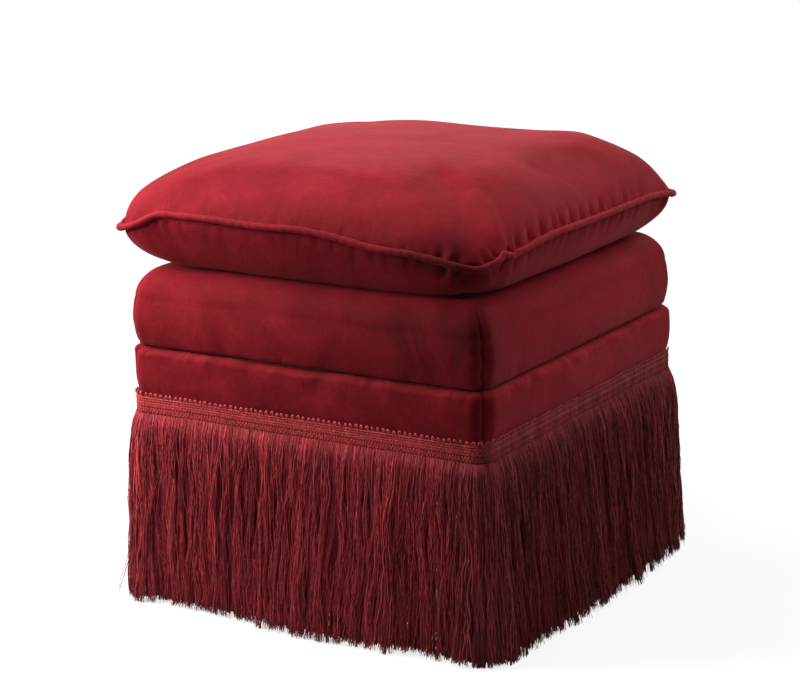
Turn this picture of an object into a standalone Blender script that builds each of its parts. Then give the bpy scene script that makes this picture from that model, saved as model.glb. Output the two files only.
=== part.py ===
"""A square upholstered stool: wooden frame, velvet seat box, deep strand fringe and a loose piped cushion.

The stool stands on the origin with +Z up and its front towards -Y. Lengths are in metres.
Pieces of one side are modelled at the front, and pieces of one corner at the front right.
The other sides and corners are quarter turns of these about the stool's middle.
"""

import math
import random

import bmesh
import bpy
from mathutils import Matrix, Vector

# Clearance left between pieces that touch
GAP = 0.0003

# Seat box as it looks from outside
SEAT_WIDTH = 0.462
SEAT_CORNER_RADIUS = 0.019
SEAT_SHOULDER_RADIUS = 0.030
SIDE_FULLNESS = 0.0025
COVER_THICKNESS = 0.002
COVER_TUCK = 0.006
COVER_TURN = 0.004
BAND_LIP = 0.003
WADDING_THICKNESS = 0.006
WADDING_SETBACK = 0.006

# Wooden frame
FLOOR_TO_RAILS = 0.210
BOTTOM_RAIL_HEIGHT = 0.0845
SEAM_OPENING = 0.0006
TOP_RAIL_HEIGHT = 0.0424
RAIL_THICKNESS = 0.022
WOOD_EDGE = 0.0012
LEG_SIZE = 0.038
LEG_FOOT_SIZE = 0.028
LEG_TAPER_HEIGHT = 0.130
BLOCK_WIDTH = 0.025
BLOCK_HEIGHT = 0.032
GLIDE_HEIGHT = 0.005
GLIDE_RADIUS = 0.012
GLIDE_SOLE_RADIUS = 0.010

# Seat suspension and filling
STRAPS_EACH_WAY = 3
STRAP_WIDTH = 0.050
STRAP_THICKNESS = 0.0016
STRAP_RISE_LENGTH = 0.012
DECK_THICKNESS = 0.001
FOAM_THICKNESS = 0.0335
FOAM_CORNER_EASE = 0.002
DUST_COVER_THICKNESS = 0.001

# Trim round the foot of the lower band
TRIM_MARGIN = 0.0035
BRAID_HEIGHT = 0.0235
BRAID_THICKNESS = 0.004
BRAID_GROOVE_DEPTH = 0.0012
BRAID_BANDS = 3
FRINGE_TAPE_HEIGHT = 0.003
FRINGE_DEPTH = 0.0046
FRINGE_BELLY_DROP = 0.028
FRINGE_BELLY_OUTSET = 0.006
FRINGE_HEM_OUTSET = 0.021
FRINGE_HEM_CLEARANCE = 0.001
FRINGE_HEM_RAGGEDNESS = 0.006
FRINGE_WAVE = 0.0022
FRINGE_WAVE_LENGTH = 0.058
FRINGE_CELLS = 48

# Loose cushion
CUSHION_OVERHANG = 0.0135
CUSHION_CORNER_RADIUS = 0.042
CUSHION_DRAW_IN = 0.003
CUSHION_CORNER_HEIGHT = 0.0395
CUSHION_SIDE_RISE = 0.028
CUSHION_CROWN_HEIGHT = 0.1293
CUSHION_REST_MARGIN = 0.039
CUSHION_FLANGE_THICKNESS = 0.002
PAD_CLEARANCE = 0.001
PIPING_RADIUS = 0.0037

# Zip at the back of the cushion's underside, and its slider
ZIP_LENGTH = 0.240
ZIP_TAPE_WIDTH = 0.016
ZIP_TAPE_THICKNESS = 0.001
ZIP_CHAIN_WIDTH = 0.005
ZIP_CHAIN_HEIGHT = 0.0015
SLIDER_LENGTH = 0.011
SLIDER_WALL = 0.0012
SLIDER_CHAMFER = 0.0004
SLIDER_CROWN_WIDTH = 0.003
SLIDER_CROWN_HEIGHT = 0.0012

# How far each cushion edge stands above its corners, along each side, as shares of the side rise
EDGE_RISE_SHARES = {
    "front": (0.42, 1.00, 0.95, 0.94, 0.78, 0.49, 0.20),
    "right": (0.20, 0.40, 0.52, 0.49, 0.52, 0.49, 0.25),
    "back": (0.20, 0.45, 0.45, 0.45, 0.45, 0.45, 0.20),
    "left": (0.20, 0.45, 0.50, 0.50, 0.50, 0.60, 0.42),
}
# The same at the tip of each corner, where the front right one droops most
CORNER_RISE_SHARES = {"front_right": -0.10, "back_right": 0.08, "back_left": 0.10, "front_left": 0.20}
# How much of the draw-in each place along a cushion side has: the front right corner is pulled in far
DRAW_IN_SHARES = {
    "front": (0.0, 1.0, 1.0, 1.0, 1.1, 1.9, 4.2),
    "right": (4.2, 1.9, 1.1, 1.0, 1.0, 1.0, 1.2),
    "back": (1.2, 1.0, 1.0, 1.0, 1.0, 1.0, 0.5),
    "left": (0.5, 1.0, 1.0, 1.0, 1.0, 1.0, 0.0),
}
# Where the rings of the cushion's top panel lie, as shares of the way from its middle to its edge
TOP_RING_SHARES = (1.0, 0.985, 0.95, 0.88, 0.78, 0.64, 0.45, 0.22)
# Exponents of the crown: how late it falls from the middle out, how steep it ends, and how fast its rings turn square
CROWN_FALL_SHARE = 3.58
CROWN_STEEPNESS_SHARE = 0.486
CROWN_SQUARENESS_SHARE = 2.0
# Where the rings of the underside lie, as shares of the way from the edge to the part that rests
UNDER_RING_SHARES = (0.0, 0.06, 0.30, 0.60, 1.0)
# Which facet of the underside carries the zip, counted from the edge
ZIP_FACET = 1
# How the strands thin out from the tape to the belly and to the tip
BELLY_SIZE_SHARE = 0.86
TIP_SIZE_SHARE = 0.70
TIP_JITTER_SHARE = 0.07
# Radius of the seat's corners at its flat top, as a share of their radius down the side
TOP_CORNER_SHARE = 0.5

SIDES = ("front", "right", "back", "left")
CORNERS = ("front_right", "back_right", "back_left", "front_left")
QUARTER_TURN = math.pi / 2
CORNER_STEPS = 4
SHOULDER_STEPS = 4
TRIM_CORNER_STEPS = 3
ROUND_STEPS = 24
STRAND_SEED = 11

# Levels from the floor up
rail_bottom = FLOOR_TO_RAILS
seam_bottom = rail_bottom + BOTTOM_RAIL_HEIGHT
seam_top = seam_bottom + SEAM_OPENING
rail_top = seam_top + TOP_RAIL_HEIGHT
strap_level = rail_top + GAP
deck_bottom = strap_level + 2 * STRAP_THICKNESS + 2 * GAP
foam_bottom = deck_bottom + DECK_THICKNESS + GAP
foam_top = foam_bottom + FOAM_THICKNESS
wadding_top = foam_top + GAP + WADDING_THICKNESS
seat_top = wadding_top + GAP + COVER_THICKNESS
tape_bottom = rail_bottom + TRIM_MARGIN
tape_top = tape_bottom + FRINGE_TAPE_HEIGHT
braid_bottom = tape_top + GAP
braid_top = braid_bottom + BRAID_HEIGHT

# Distances from the stool's middle
seat_half = SEAT_WIDTH / 2 - SIDE_FULLNESS
wadding_half = seat_half - COVER_THICKNESS - GAP
rail_half = wadding_half - WADDING_THICKNESS - GAP
rail_inner_half = rail_half - RAIL_THICKNESS
leg_outer_half = rail_inner_half - GAP
leg_inner_half = leg_outer_half - LEG_SIZE
top_corner_radius = SEAT_CORNER_RADIUS * TOP_CORNER_SHARE
wadding_radius = SEAT_CORNER_RADIUS - COVER_THICKNESS - GAP
rail_corner_radius = min(wadding_radius - WADDING_THICKNESS - GAP, RAIL_THICKNESS - GAP)

# Cushion sizes, from its resting plane up and from its middle out
piping_half = SEAT_WIDTH / 2 + CUSHION_OVERHANG - PIPING_RADIUS
piping_corner_radius = CUSHION_CORNER_RADIUS - PIPING_RADIUS
panel_half = piping_half - PIPING_RADIUS - GAP
panel_corner_radius = piping_corner_radius - PIPING_RADIUS - GAP
side_steps = len(DRAW_IN_SHARES["front"]) - 1

# Colour, roughness, metallic value and sheen of each finish
FINISHES = {
    "velvet": ((0.30, 0.022, 0.035), 0.85, 0.0, 0.7),
    "velvet_piping": ((0.26, 0.018, 0.030), 0.80, 0.0, 0.6),
    "braid": ((0.27, 0.024, 0.040), 0.80, 0.0, 0.3),
    "fringe": ((0.21, 0.018, 0.030), 0.85, 0.0, 0.4),
    "beech": ((0.52, 0.34, 0.18), 0.55, 0.0, 0.0),
    "webbing": ((0.42, 0.32, 0.20), 0.90, 0.0, 0.0),
    "hessian": ((0.46, 0.36, 0.24), 0.95, 0.0, 0.0),
    "foam": ((0.85, 0.80, 0.62), 0.90, 0.0, 0.0),
    "wadding": ((0.86, 0.85, 0.82), 1.00, 0.0, 0.2),
    "dust_cloth": ((0.03, 0.03, 0.035), 0.90, 0.0, 0.0),
    "glide": ((0.10, 0.09, 0.08), 0.45, 0.0, 0.0),
    "zip_tape": ((0.20, 0.020, 0.030), 0.80, 0.0, 0.0),
    "zip_metal": ((0.55, 0.42, 0.22), 0.35, 1.0, 0.0),
}


def empty_scene():
    for obj in list(bpy.data.objects):
        bpy.data.objects.remove(obj, do_unlink=True)


def new_collection(name):
    collection = bpy.data.collections.new(name)
    bpy.context.scene.collection.children.link(collection)
    return collection


def new_material(name, finish):
    colour, roughness, metallic, sheen = FINISHES[finish]
    material = bpy.data.materials.new(name)
    material.use_nodes = True
    shader = material.node_tree.nodes["Principled BSDF"]
    shader.inputs["Base Color"].default_value = (*colour, 1.0)
    shader.inputs["Roughness"].default_value = roughness
    shader.inputs["Metallic"].default_value = metallic
    shader.inputs["Sheen Weight"].default_value = sheen
    material.diffuse_color = (*colour, 1.0)
    return material


def new_part(name, data, finish, smooth=False):
    """An object in the stool's collection that holds this mesh or curve, with a material of its own."""
    part = bpy.data.objects.new(name, data)
    stool_collection.objects.link(part)
    data.materials.append(new_material(name + "_finish", finish))
    if smooth:
        data.shade_smooth()
        data.set_sharp_from_angle(angle=math.radians(40))
    return part


def part_from_bmesh(name, bm, finish, smooth=False):
    bmesh.ops.recalc_face_normals(bm, faces=bm.faces)
    mesh = bpy.data.meshes.new(name)
    bm.to_mesh(mesh)
    bm.free()
    return new_part(name, mesh, finish, smooth)


def add_bevel(part, width):
    bevel = part.modifiers.new("edges", "BEVEL")
    bevel.width = width
    bevel.segments = 1
    bevel.limit_method = "ANGLE"
    bevel.angle_limit = math.radians(50)


def add_thickness(part, thickness):
    """Turns an open surface into a shell, from its outer side inwards."""
    shell = part.modifiers.new("shell", "SOLIDIFY")
    shell.thickness = thickness
    shell.offset = -1.0
    shell.use_even_offset = True


def add_plate(name, outline, level, thickness, finish):
    """A flat outline with this thickness, resting on this level."""
    curve = bpy.data.curves.new(name, "CURVE")
    curve.dimensions = "2D"
    curve.fill_mode = "BOTH"
    curve.extrude = thickness / 2
    spline = curve.splines.new("POLY")
    spline.points.add(len(outline) - 1)
    for point, (x, y) in zip(spline.points, outline):
        point.co = (x, y, 0, 1)
    spline.use_cyclic_u = True
    part = new_part(name, curve, finish)
    part.location = (0, 0, level + thickness / 2)
    return part


def quarter_turn(part, quarter):
    """Turns a piece modelled at the front, or at the front right corner, to its own side or corner."""
    turn = Matrix.Rotation(quarter * QUARTER_TURN, 4, "Z")
    part.location = turn @ part.location
    part.rotation_euler.z += quarter * QUARTER_TURN


def add_loft(bm, loops, cap_first=False, cap_last=False):
    """Joins loops of as many points each with bands of faces, and closes either end with one face."""
    rings = [[bm.verts.new(point) for point in loop] for loop in loops]
    for lower, upper in zip(rings, rings[1:]):
        for i in range(len(lower)):
            bm.faces.new((lower[i - 1], lower[i], upper[i], upper[i - 1]))
    if cap_first:
        bm.faces.new(rings[0])
    if cap_last:
        bm.faces.new(rings[-1])


def box_ring(half, radius, level):
    """A level loop round a square with rounded corners."""
    ring = []
    for quarter in range(len(CORNERS)):
        turn = Matrix.Rotation(quarter * QUARTER_TURN, 3, "Z")
        for step in range(CORNER_STEPS + 1):
            angle = QUARTER_TURN * (step / CORNER_STEPS - 1)
            x = half - radius + radius * math.cos(angle)
            y = radius - half + radius * math.sin(angle)
            ring.append(turn @ Vector((x, y, level)))
    return ring


def shoulder_rings(half, radius, top_radius, top, shoulder):
    """Loops of a padded box from where its side ends, over the rounded shoulder, to its flat top.

    The corner radius turns from one to the other on the way up.
    """
    rings = []
    for step in range(SHOULDER_STEPS + 1):
        angle = QUARTER_TURN * step / SHOULDER_STEPS
        inset_share = 1 - math.cos(angle)
        level = top - shoulder * (1 - math.sin(angle))
        corner = radius + (top_radius - radius) * inset_share
        rings.append(box_ring(half - shoulder * inset_share, corner, level))
    return rings


def side_rings(half, radius, bottom, top):
    """Loops of a padded side that swells a little at half its height."""
    full = SIDE_FULLNESS
    return [
        box_ring(half, radius, bottom),
        box_ring(half + full, radius + full, (bottom + top) / 2),
    ]


# Wooden frame

def add_leg(corner, quarter):
    """A square post up the inside of the corner, with a tapered foot."""
    bottom = GLIDE_HEIGHT + GAP
    centre = (leg_outer_half + leg_inner_half) / 2
    bm = bmesh.new()
    levels = ((LEG_FOOT_SIZE, bottom), (LEG_SIZE, bottom + LEG_TAPER_HEIGHT), (LEG_SIZE, rail_top))
    loops = []
    for size, level in levels:
        reach = size / 2
        loops.append([(-reach, -reach, level), (reach, -reach, level), (reach, reach, level), (-reach, reach, level)])
    add_loft(bm, loops, cap_first=True, cap_last=True)
    part = part_from_bmesh("leg_" + corner, bm, "beech")
    part.location = (centre, -centre, 0)
    add_bevel(part, WOOD_EDGE)
    quarter_turn(part, quarter)


def add_glide(corner, quarter):
    """A domed disc nailed under the foot, with a flat sole."""
    centre = (leg_outer_half + leg_inner_half) / 2
    profile = bpy.data.meshes.new("glide_" + corner)
    dome = GLIDE_RADIUS - GLIDE_SOLE_RADIUS
    points = [(0, 0, GLIDE_HEIGHT), (GLIDE_RADIUS, 0, GLIDE_HEIGHT), (GLIDE_RADIUS, 0, dome)]
    points += [(GLIDE_SOLE_RADIUS, 0, 0), (0, 0, 0)]
    profile.from_pydata(points, [(i, i + 1) for i in range(len(points) - 1)], [])
    part = new_part("glide_" + corner, profile, "glide", smooth=True)
    turning = part.modifiers.new("turning", "SCREW")
    turning.steps = ROUND_STEPS
    turning.render_steps = ROUND_STEPS
    turning.use_merge_vertices = True
    turning.merge_threshold = GAP / 10
    part.location = (centre, -centre, 0)
    quarter_turn(part, quarter)


def add_rail(name, quarter, bottom, height):
    """A rail of the front or back, with rounded outer corners, or of a side, butted between those two."""
    runs_through = quarter % 2 == 0
    reach = rail_half if runs_through else rail_inner_half - GAP
    bm = bmesh.new()
    bmesh.ops.create_cube(bm, size=1.0)
    bmesh.ops.scale(bm, vec=(2 * reach, RAIL_THICKNESS, height), verts=bm.verts)
    if runs_through:
        corners = [e for e in bm.edges if all(v.co.y < 0 for v in e.verts) and e.verts[0].co.x == e.verts[1].co.x]
        bmesh.ops.bevel(bm, geom=corners, offset=rail_corner_radius, segments=CORNER_STEPS, affect="EDGES", profile=0.5)
    part = part_from_bmesh(name, bm, "beech")
    part.location = (0, RAIL_THICKNESS / 2 - rail_half, bottom + height / 2)
    quarter_turn(part, quarter)


def add_corner_block(corner, quarter):
    """A glued brace across the corner, behind the leg, with its ends mitred to the two rails."""
    face = rail_inner_half - GAP
    outer = 2 * (leg_inner_half - GAP) - face
    inner = outer - BLOCK_WIDTH * math.sqrt(2)
    outline = [(outer, -face), (face, -outer), (face, -inner), (inner, -face)]
    level = rail_top - WOOD_EDGE - BLOCK_HEIGHT
    part = add_plate("corner_block_" + corner, outline, level, BLOCK_HEIGHT, "beech")
    quarter_turn(part, quarter)


# Seat suspension and filling

def strap_places():
    """Where the straps lie across the seat opening, evenly spaced."""
    spacing = 2 * rail_inner_half / (STRAPS_EACH_WAY + 1)
    return [spacing * (i + 1) - rail_inner_half for i in range(STRAPS_EACH_WAY)]


def add_strap(name, index, crosswise):
    """A webbing strap that passes over and under the straps of the other way by turns."""
    places = strap_places()
    over = [(index + other + crosswise) % 2 == 0 for other in range(STRAPS_EACH_WAY)]
    flat = STRAP_WIDTH / 2 + GAP
    raised = STRAP_THICKNESS + GAP
    route = [(-rail_half, 0)]
    for place, is_over in zip(places, over):
        if is_over:
            route += [(place - flat - STRAP_RISE_LENGTH, 0), (place - flat, raised)]
            route += [(place + flat, raised), (place + flat + STRAP_RISE_LENGTH, 0)]
    route.append((rail_half, 0))
    bm = bmesh.new()
    edges = []
    for side in (-STRAP_WIDTH / 2, STRAP_WIDTH / 2):
        edges.append([bm.verts.new((x, side, z)) for x, z in route])
    for i in range(len(route) - 1):
        bm.faces.new((edges[0][i], edges[0][i + 1], edges[1][i + 1], edges[1][i]))
    part = part_from_bmesh(name, bm, "webbing")
    for face in part.data.polygons:
        if face.normal.z < 0:
            face.flip()
    add_thickness(part, STRAP_THICKNESS)
    part.location = (0, places[index], strap_level + STRAP_THICKNESS)
    if crosswise:
        quarter_turn(part, 1)


def add_foam_block():
    """The seat foam, its corners rounded more than the rails' and its shoulder like the wadding over it."""
    shoulder = SEAT_SHOULDER_RADIUS - COVER_THICKNESS - WADDING_THICKNESS - 2 * GAP
    radius = rail_corner_radius + FOAM_CORNER_EASE
    bm = bmesh.new()
    rings = [box_ring(rail_half, radius, foam_bottom)]
    rings += shoulder_rings(rail_half, radius, radius, foam_top, shoulder)
    add_loft(bm, rings, cap_first=True, cap_last=True)
    part_from_bmesh("seat_foam", bm, "foam", smooth=True)


def add_wadding():
    """Wadding over the foam and down the top rails."""
    shoulder = SEAT_SHOULDER_RADIUS - COVER_THICKNESS - GAP
    bm = bmesh.new()
    bottom = seam_top + WADDING_SETBACK
    rings = side_rings(wadding_half, wadding_radius, bottom, wadding_top - shoulder)
    rings += shoulder_rings(wadding_half, wadding_radius, top_corner_radius, wadding_top, shoulder)
    add_loft(bm, rings, cap_last=True)
    add_thickness(part_from_bmesh("seat_wadding", bm, "wadding", smooth=True), WADDING_THICKNESS)


def add_seat_cover():
    """The velvet over the top and upper band, tucked in at the seam."""
    bm = bmesh.new()
    tucked = box_ring(seat_half - COVER_TUCK, SEAT_CORNER_RADIUS - COVER_TUCK, seam_top)
    rings = [tucked]
    rings += side_rings(seat_half, SEAT_CORNER_RADIUS, seam_top + COVER_TURN, seat_top - SEAT_SHOULDER_RADIUS)
    rings += shoulder_rings(seat_half, SEAT_CORNER_RADIUS, top_corner_radius, seat_top, SEAT_SHOULDER_RADIUS)
    add_loft(bm, rings, cap_last=True)
    add_thickness(part_from_bmesh("seat_cover", bm, "velvet", smooth=True), COVER_THICKNESS)


def add_lower_band():
    """The velvet band under the seam: tucked in at its top, with a full lip above the braid."""
    lip = BAND_LIP
    top = seam_bottom - COVER_TURN
    bm = bmesh.new()
    rings = [
        box_ring(seat_half, SEAT_CORNER_RADIUS, rail_bottom),
        box_ring(seat_half, SEAT_CORNER_RADIUS, braid_top + COVER_TURN),
        box_ring(seat_half + lip, SEAT_CORNER_RADIUS + lip, (braid_top + top) / 2),
        box_ring(seat_half + lip, SEAT_CORNER_RADIUS + lip, top),
        box_ring(seat_half - COVER_TUCK, SEAT_CORNER_RADIUS - COVER_TUCK, seam_bottom),
    ]
    add_loft(bm, rings)
    add_thickness(part_from_bmesh("lower_band", bm, "velvet", smooth=True), COVER_THICKNESS)


def add_band_wadding():
    """The wadding between the lower band and the bottom rails."""
    bm = bmesh.new()
    levels = (rail_bottom + GAP, seam_bottom - WADDING_SETBACK)
    add_loft(bm, [box_ring(wadding_half, wadding_radius, level) for level in levels])
    add_thickness(part_from_bmesh("band_wadding", bm, "wadding", smooth=True), WADDING_THICKNESS)


def add_dust_cover():
    """Thin cloth under the bottom rails, cut out round the legs."""
    notch = leg_inner_half - GAP
    outline = []
    for quarter in range(len(CORNERS)):
        turn = Matrix.Rotation(quarter * QUARTER_TURN, 2)
        for x, y in ((notch, -rail_half), (notch, -notch), (rail_half, -notch)):
            outline.append(turn @ Vector((x, y)))
    level = rail_bottom - GAP - DUST_COVER_THICKNESS
    add_plate("dust_cover", outline, level, DUST_COVER_THICKNESS, "dust_cloth")


# Trim

def front_reach():
    """Half the length of the trim on one side, from the middle of the side to the middle of its corner."""
    return seat_half - SEAT_CORNER_RADIUS + SEAT_CORNER_RADIUS * QUARTER_TURN / 2 - GAP / 2


def beside_band(distance, outset, level):
    """The point this far along the front from its middle, following the corners, and this far off the band."""
    straight = seat_half - SEAT_CORNER_RADIUS
    turned = math.copysign(max(abs(distance) - straight, 0) / SEAT_CORNER_RADIUS, distance)
    radius = SEAT_CORNER_RADIUS + outset
    x = math.copysign(min(abs(distance), straight), distance) + radius * math.sin(turned)
    y = -straight - radius * math.cos(turned)
    return Vector((x, y, level))


def clear_of_band(chord):
    """How far off the band the back of the trim starts, so that a chord this long clears the rounded corner."""
    return GAP + chord ** 2 / (8 * SEAT_CORNER_RADIUS)


def braid_section():
    """Outset and level of each point of the braid's cross-section: flat behind, banded in front."""
    back = clear_of_band(SEAT_CORNER_RADIUS * QUARTER_TURN / 2 / TRIM_CORNER_STEPS)
    front = back + BRAID_THICKNESS
    groove = front - BRAID_GROOVE_DEPTH
    band = BRAID_HEIGHT / BRAID_BANDS
    section = [(back, braid_top), (back, braid_bottom)]
    for i in range(BRAID_BANDS):
        low = braid_bottom + i * band
        section += [(groove, low), (front, low + BRAID_GROOVE_DEPTH), (front, low + band - BRAID_GROOVE_DEPTH)]
    section.append((groove, braid_top))
    return section


def add_braid(side, quarter):
    """The braid heading of one side, round to the middle of each corner."""
    straight = seat_half - SEAT_CORNER_RADIUS
    arc = front_reach() - straight
    right_half = [straight + arc * step / TRIM_CORNER_STEPS for step in range(TRIM_CORNER_STEPS + 1)]
    distances = [-distance for distance in reversed(right_half)] + right_half
    section = braid_section()
    loops = [[beside_band(distance, *point) for point in section] for distance in distances]
    bm = bmesh.new()
    add_loft(bm, loops, cap_first=True, cap_last=True)
    quarter_turn(part_from_bmesh("braid_" + side, bm, "braid"), quarter)


def strand_cells(bm):
    """Triangles side by side along the fringe's tape, one strand's root each, laid out flat."""
    reach = front_reach()
    pitch = 2 * reach / FRINGE_CELLS
    back = clear_of_band(pitch)
    front = back + FRINGE_DEPTH
    outer_row = [bm.verts.new((i * pitch - reach, front, tape_top)) for i in range(FRINGE_CELLS + 1)]
    inner_places = [-reach] + [(i + 0.5) * pitch - reach for i in range(FRINGE_CELLS)] + [reach]
    inner_row = [bm.verts.new((place, back, tape_top)) for place in inner_places]
    cells = []
    for i in range(FRINGE_CELLS):
        cells.append(bm.faces.new((outer_row[i], outer_row[i + 1], inner_row[i + 1])))
    for i in range(FRINGE_CELLS + 1):
        cells.append(bm.faces.new((inner_row[i], outer_row[i], inner_row[i + 1])))
    return cells


def grow_strands(bm, faces, size_share, outset, level_of, slip_of):
    """Draws each face out into the next length of its strand, and returns the new end faces in order."""
    grown = bmesh.ops.extrude_discrete_faces(bm, faces=faces)["faces"]
    grown.sort(key=lambda face: face.calc_center_median().x)
    for face in grown:
        middle = face.calc_center_median()
        target = Vector((middle.x + slip_of(middle.x), middle.y + outset, level_of(middle.x)))
        for vert in face.verts:
            vert.co = target + (vert.co - middle) * size_share
    return grown


def add_fringe(side, quarter):
    """One side of the fringe: tapered strands that belly out under the tape and hang to just over the floor."""
    draw = random.Random(STRAND_SEED)
    reach = front_reach()
    pitch = 2 * reach / FRINGE_CELLS
    bm = bmesh.new()
    cells = strand_cells(bm)
    lowered = bmesh.ops.extrude_face_region(bm, geom=cells)["geom"]
    tape_verts = [item for item in lowered if isinstance(item, bmesh.types.BMVert)]
    tape_faces = [item for item in lowered if isinstance(item, bmesh.types.BMFace)]
    bmesh.ops.translate(bm, verts=tape_verts, vec=(0, 0, tape_bottom - tape_top))

    def belly_level(along):
        return tape_bottom - FRINGE_BELLY_DROP

    def hem_level(along):
        return FRINGE_HEM_CLEARANCE + FRINGE_HEM_RAGGEDNESS * draw.random()

    def hem_slip(along):
        fade = 1 - (along / reach) ** 2
        wave = FRINGE_WAVE * math.sin(math.tau * along / FRINGE_WAVE_LENGTH)
        jitter = TIP_JITTER_SHARE * pitch * (2 * draw.random() - 1)
        return fade * (wave + jitter)

    def no_slip(along):
        return 0

    bellies = grow_strands(bm, tape_faces, BELLY_SIZE_SHARE, FRINGE_BELLY_OUTSET, belly_level, no_slip)
    tip_share = TIP_SIZE_SHARE / BELLY_SIZE_SHARE
    rest_outset = FRINGE_HEM_OUTSET - FRINGE_BELLY_OUTSET
    grow_strands(bm, bellies, tip_share, rest_outset, hem_level, hem_slip)
    for vert in bm.verts:
        vert.co = beside_band(*vert.co)
    quarter_turn(part_from_bmesh("fringe_" + side, bm, "fringe"), quarter)


# Loose cushion, from its resting plane up

def corner_rise(side, corner, share):
    """Share of the side rise this far round the corner that follows a side."""
    to_tip = 2 * share
    if to_tip <= 1:
        start = EDGE_RISE_SHARES[side][-1]
        return start + (CORNER_RISE_SHARES[corner] - start) * to_tip
    end = EDGE_RISE_SHARES[SIDES[(SIDES.index(side) + 1) % len(SIDES)]][0]
    return CORNER_RISE_SHARES[corner] + (end - CORNER_RISE_SHARES[corner]) * (to_tip - 1)


def cushion_ring(half, radius, draw_in, level_of):
    """A loop round the cushion: sides drawn in between rounded corners, some of which are pulled in too.

    level_of gives a point's level from the share of the side rise that the edge has there.
    """
    ring = []
    straight = half - radius
    for quarter, (side, corner) in enumerate(zip(SIDES, CORNERS)):
        turn = Matrix.Rotation(quarter * QUARTER_TURN, 3, "Z")
        draws = DRAW_IN_SHARES[side]
        start = draw_in * DRAW_IN_SHARES[SIDES[quarter - 1]][-1] - straight
        end = straight - draw_in * DRAW_IN_SHARES[SIDES[(quarter + 1) % len(SIDES)]][0]
        for step in range(side_steps):
            x = start + (end - start) * step / side_steps
            y = draw_in * draws[step] - half
            ring.append(turn @ Vector((x, y, level_of(EDGE_RISE_SHARES[side][step]))))
        for step in range(CORNER_STEPS):
            share = step / CORNER_STEPS
            angle = QUARTER_TURN * (share - 1)
            x = end + radius * math.cos(angle)
            y = draw_in * draws[-1] - straight + radius * math.sin(angle)
            ring.append(turn @ Vector((x, y, level_of(corner_rise(side, corner, share)))))
    return ring


def edge_level(rise):
    """Level of the piped edge where the edge has this share of the side rise."""
    return CUSHION_CORNER_HEIGHT + CUSHION_SIDE_RISE * rise


def top_rings(inset, seam_offset):
    """Loops of the cushion's top from its edge in to its crown."""
    rings = []
    half = panel_half - inset
    crown = CUSHION_CROWN_HEIGHT - inset
    corner_share = (panel_corner_radius - inset) / half
    for share in TOP_RING_SHARES:
        bulge = (1 - share ** CROWN_FALL_SHARE) ** CROWN_STEEPNESS_SHARE
        squareness = share ** CROWN_SQUARENESS_SHARE
        reach = half * share
        radius = reach * (1 - squareness * (1 - corner_share))

        def level_of(rise):
            seam = edge_level(rise) + seam_offset
            return seam + (crown - seam) * bulge

        rings.append(cushion_ring(reach, radius, CUSHION_DRAW_IN * share * squareness, level_of))
    return rings


def under_rings(inset, seam_offset):
    """Loops of the cushion's underside from its edge in to the flat that rests on the seat."""
    rings = []
    half = panel_half - inset
    corner_share = (panel_corner_radius - inset) / half
    for share in UNDER_RING_SHARES:
        reach = half - CUSHION_REST_MARGIN * share
        drop = math.sqrt(1 - (1 - share) ** 2)

        def level_of(rise):
            seam = edge_level(rise) - seam_offset
            return seam + (inset - seam) * drop

        rings.append(cushion_ring(reach, reach * corner_share, CUSHION_DRAW_IN * (1 - share), level_of))
    return rings


def add_cushion_panel(name, rings, parent):
    bm = bmesh.new()
    add_loft(bm, rings, cap_last=True)
    part = part_from_bmesh(name, bm, "velvet", smooth=True)
    add_thickness(part, COVER_THICKNESS)
    part.parent = parent
    return part


def add_cushion_pad(parent):
    """The filling, a little smaller than the two panels."""
    inset = COVER_THICKNESS + PAD_CLEARANCE
    bm = bmesh.new()
    rings = list(reversed(under_rings(inset, 0))) + top_rings(inset, 0)[1:]
    add_loft(bm, rings, cap_first=True, cap_last=True)
    part_from_bmesh("cushion_pad", bm, "wadding", smooth=True).parent = parent


def add_piping(parent):
    """The covered cord sewn between the two panels."""
    curve = bpy.data.curves.new("cushion_piping", "CURVE")
    curve.dimensions = "3D"
    curve.bevel_depth = PIPING_RADIUS
    curve.bevel_resolution = 1
    ring = cushion_ring(piping_half, piping_corner_radius, CUSHION_DRAW_IN, edge_level)
    spline = curve.splines.new("POLY")
    spline.points.add(len(ring) - 1)
    for point, place in zip(spline.points, ring):
        point.co = (*place, 1)
    spline.use_cyclic_u = True
    new_part("cushion_piping", curve, "velvet_piping").parent = parent


def zip_seat():
    """Middle and slant of the flat facet at the back of the underside that the zip is sewn to."""
    rings = under_rings(0, CUSHION_FLANGE_THICKNESS / 2)
    back_middle = SIDES.index("back") * (side_steps + CORNER_STEPS) + side_steps // 2
    upper = rings[ZIP_FACET][back_middle]
    lower = rings[ZIP_FACET + 1][back_middle]
    along = upper - lower
    slant = math.atan2(along.z, along.y)
    middle = (upper + lower) / 2
    return Vector((0, middle.y, middle.z)), slant


def add_extrusion(name, section, length, finish):
    """A closed section in Y and Z, drawn out along X about the object's origin."""
    bm = bmesh.new()
    loops = [[(x, y, z) for y, z in section] for x in (-length / 2, length / 2)]
    add_loft(bm, loops, cap_first=True, cap_last=True)
    return part_from_bmesh(name, bm, finish)


def set_on_zip_seat(part, parent, along):
    """Sets a piece of the zip on the underside, with its own -Z outwards, this far along X."""
    middle, slant = zip_seat()
    part.parent = parent
    part.location = middle + Vector((along, 0, 0))
    part.rotation_euler.x = slant


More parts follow.
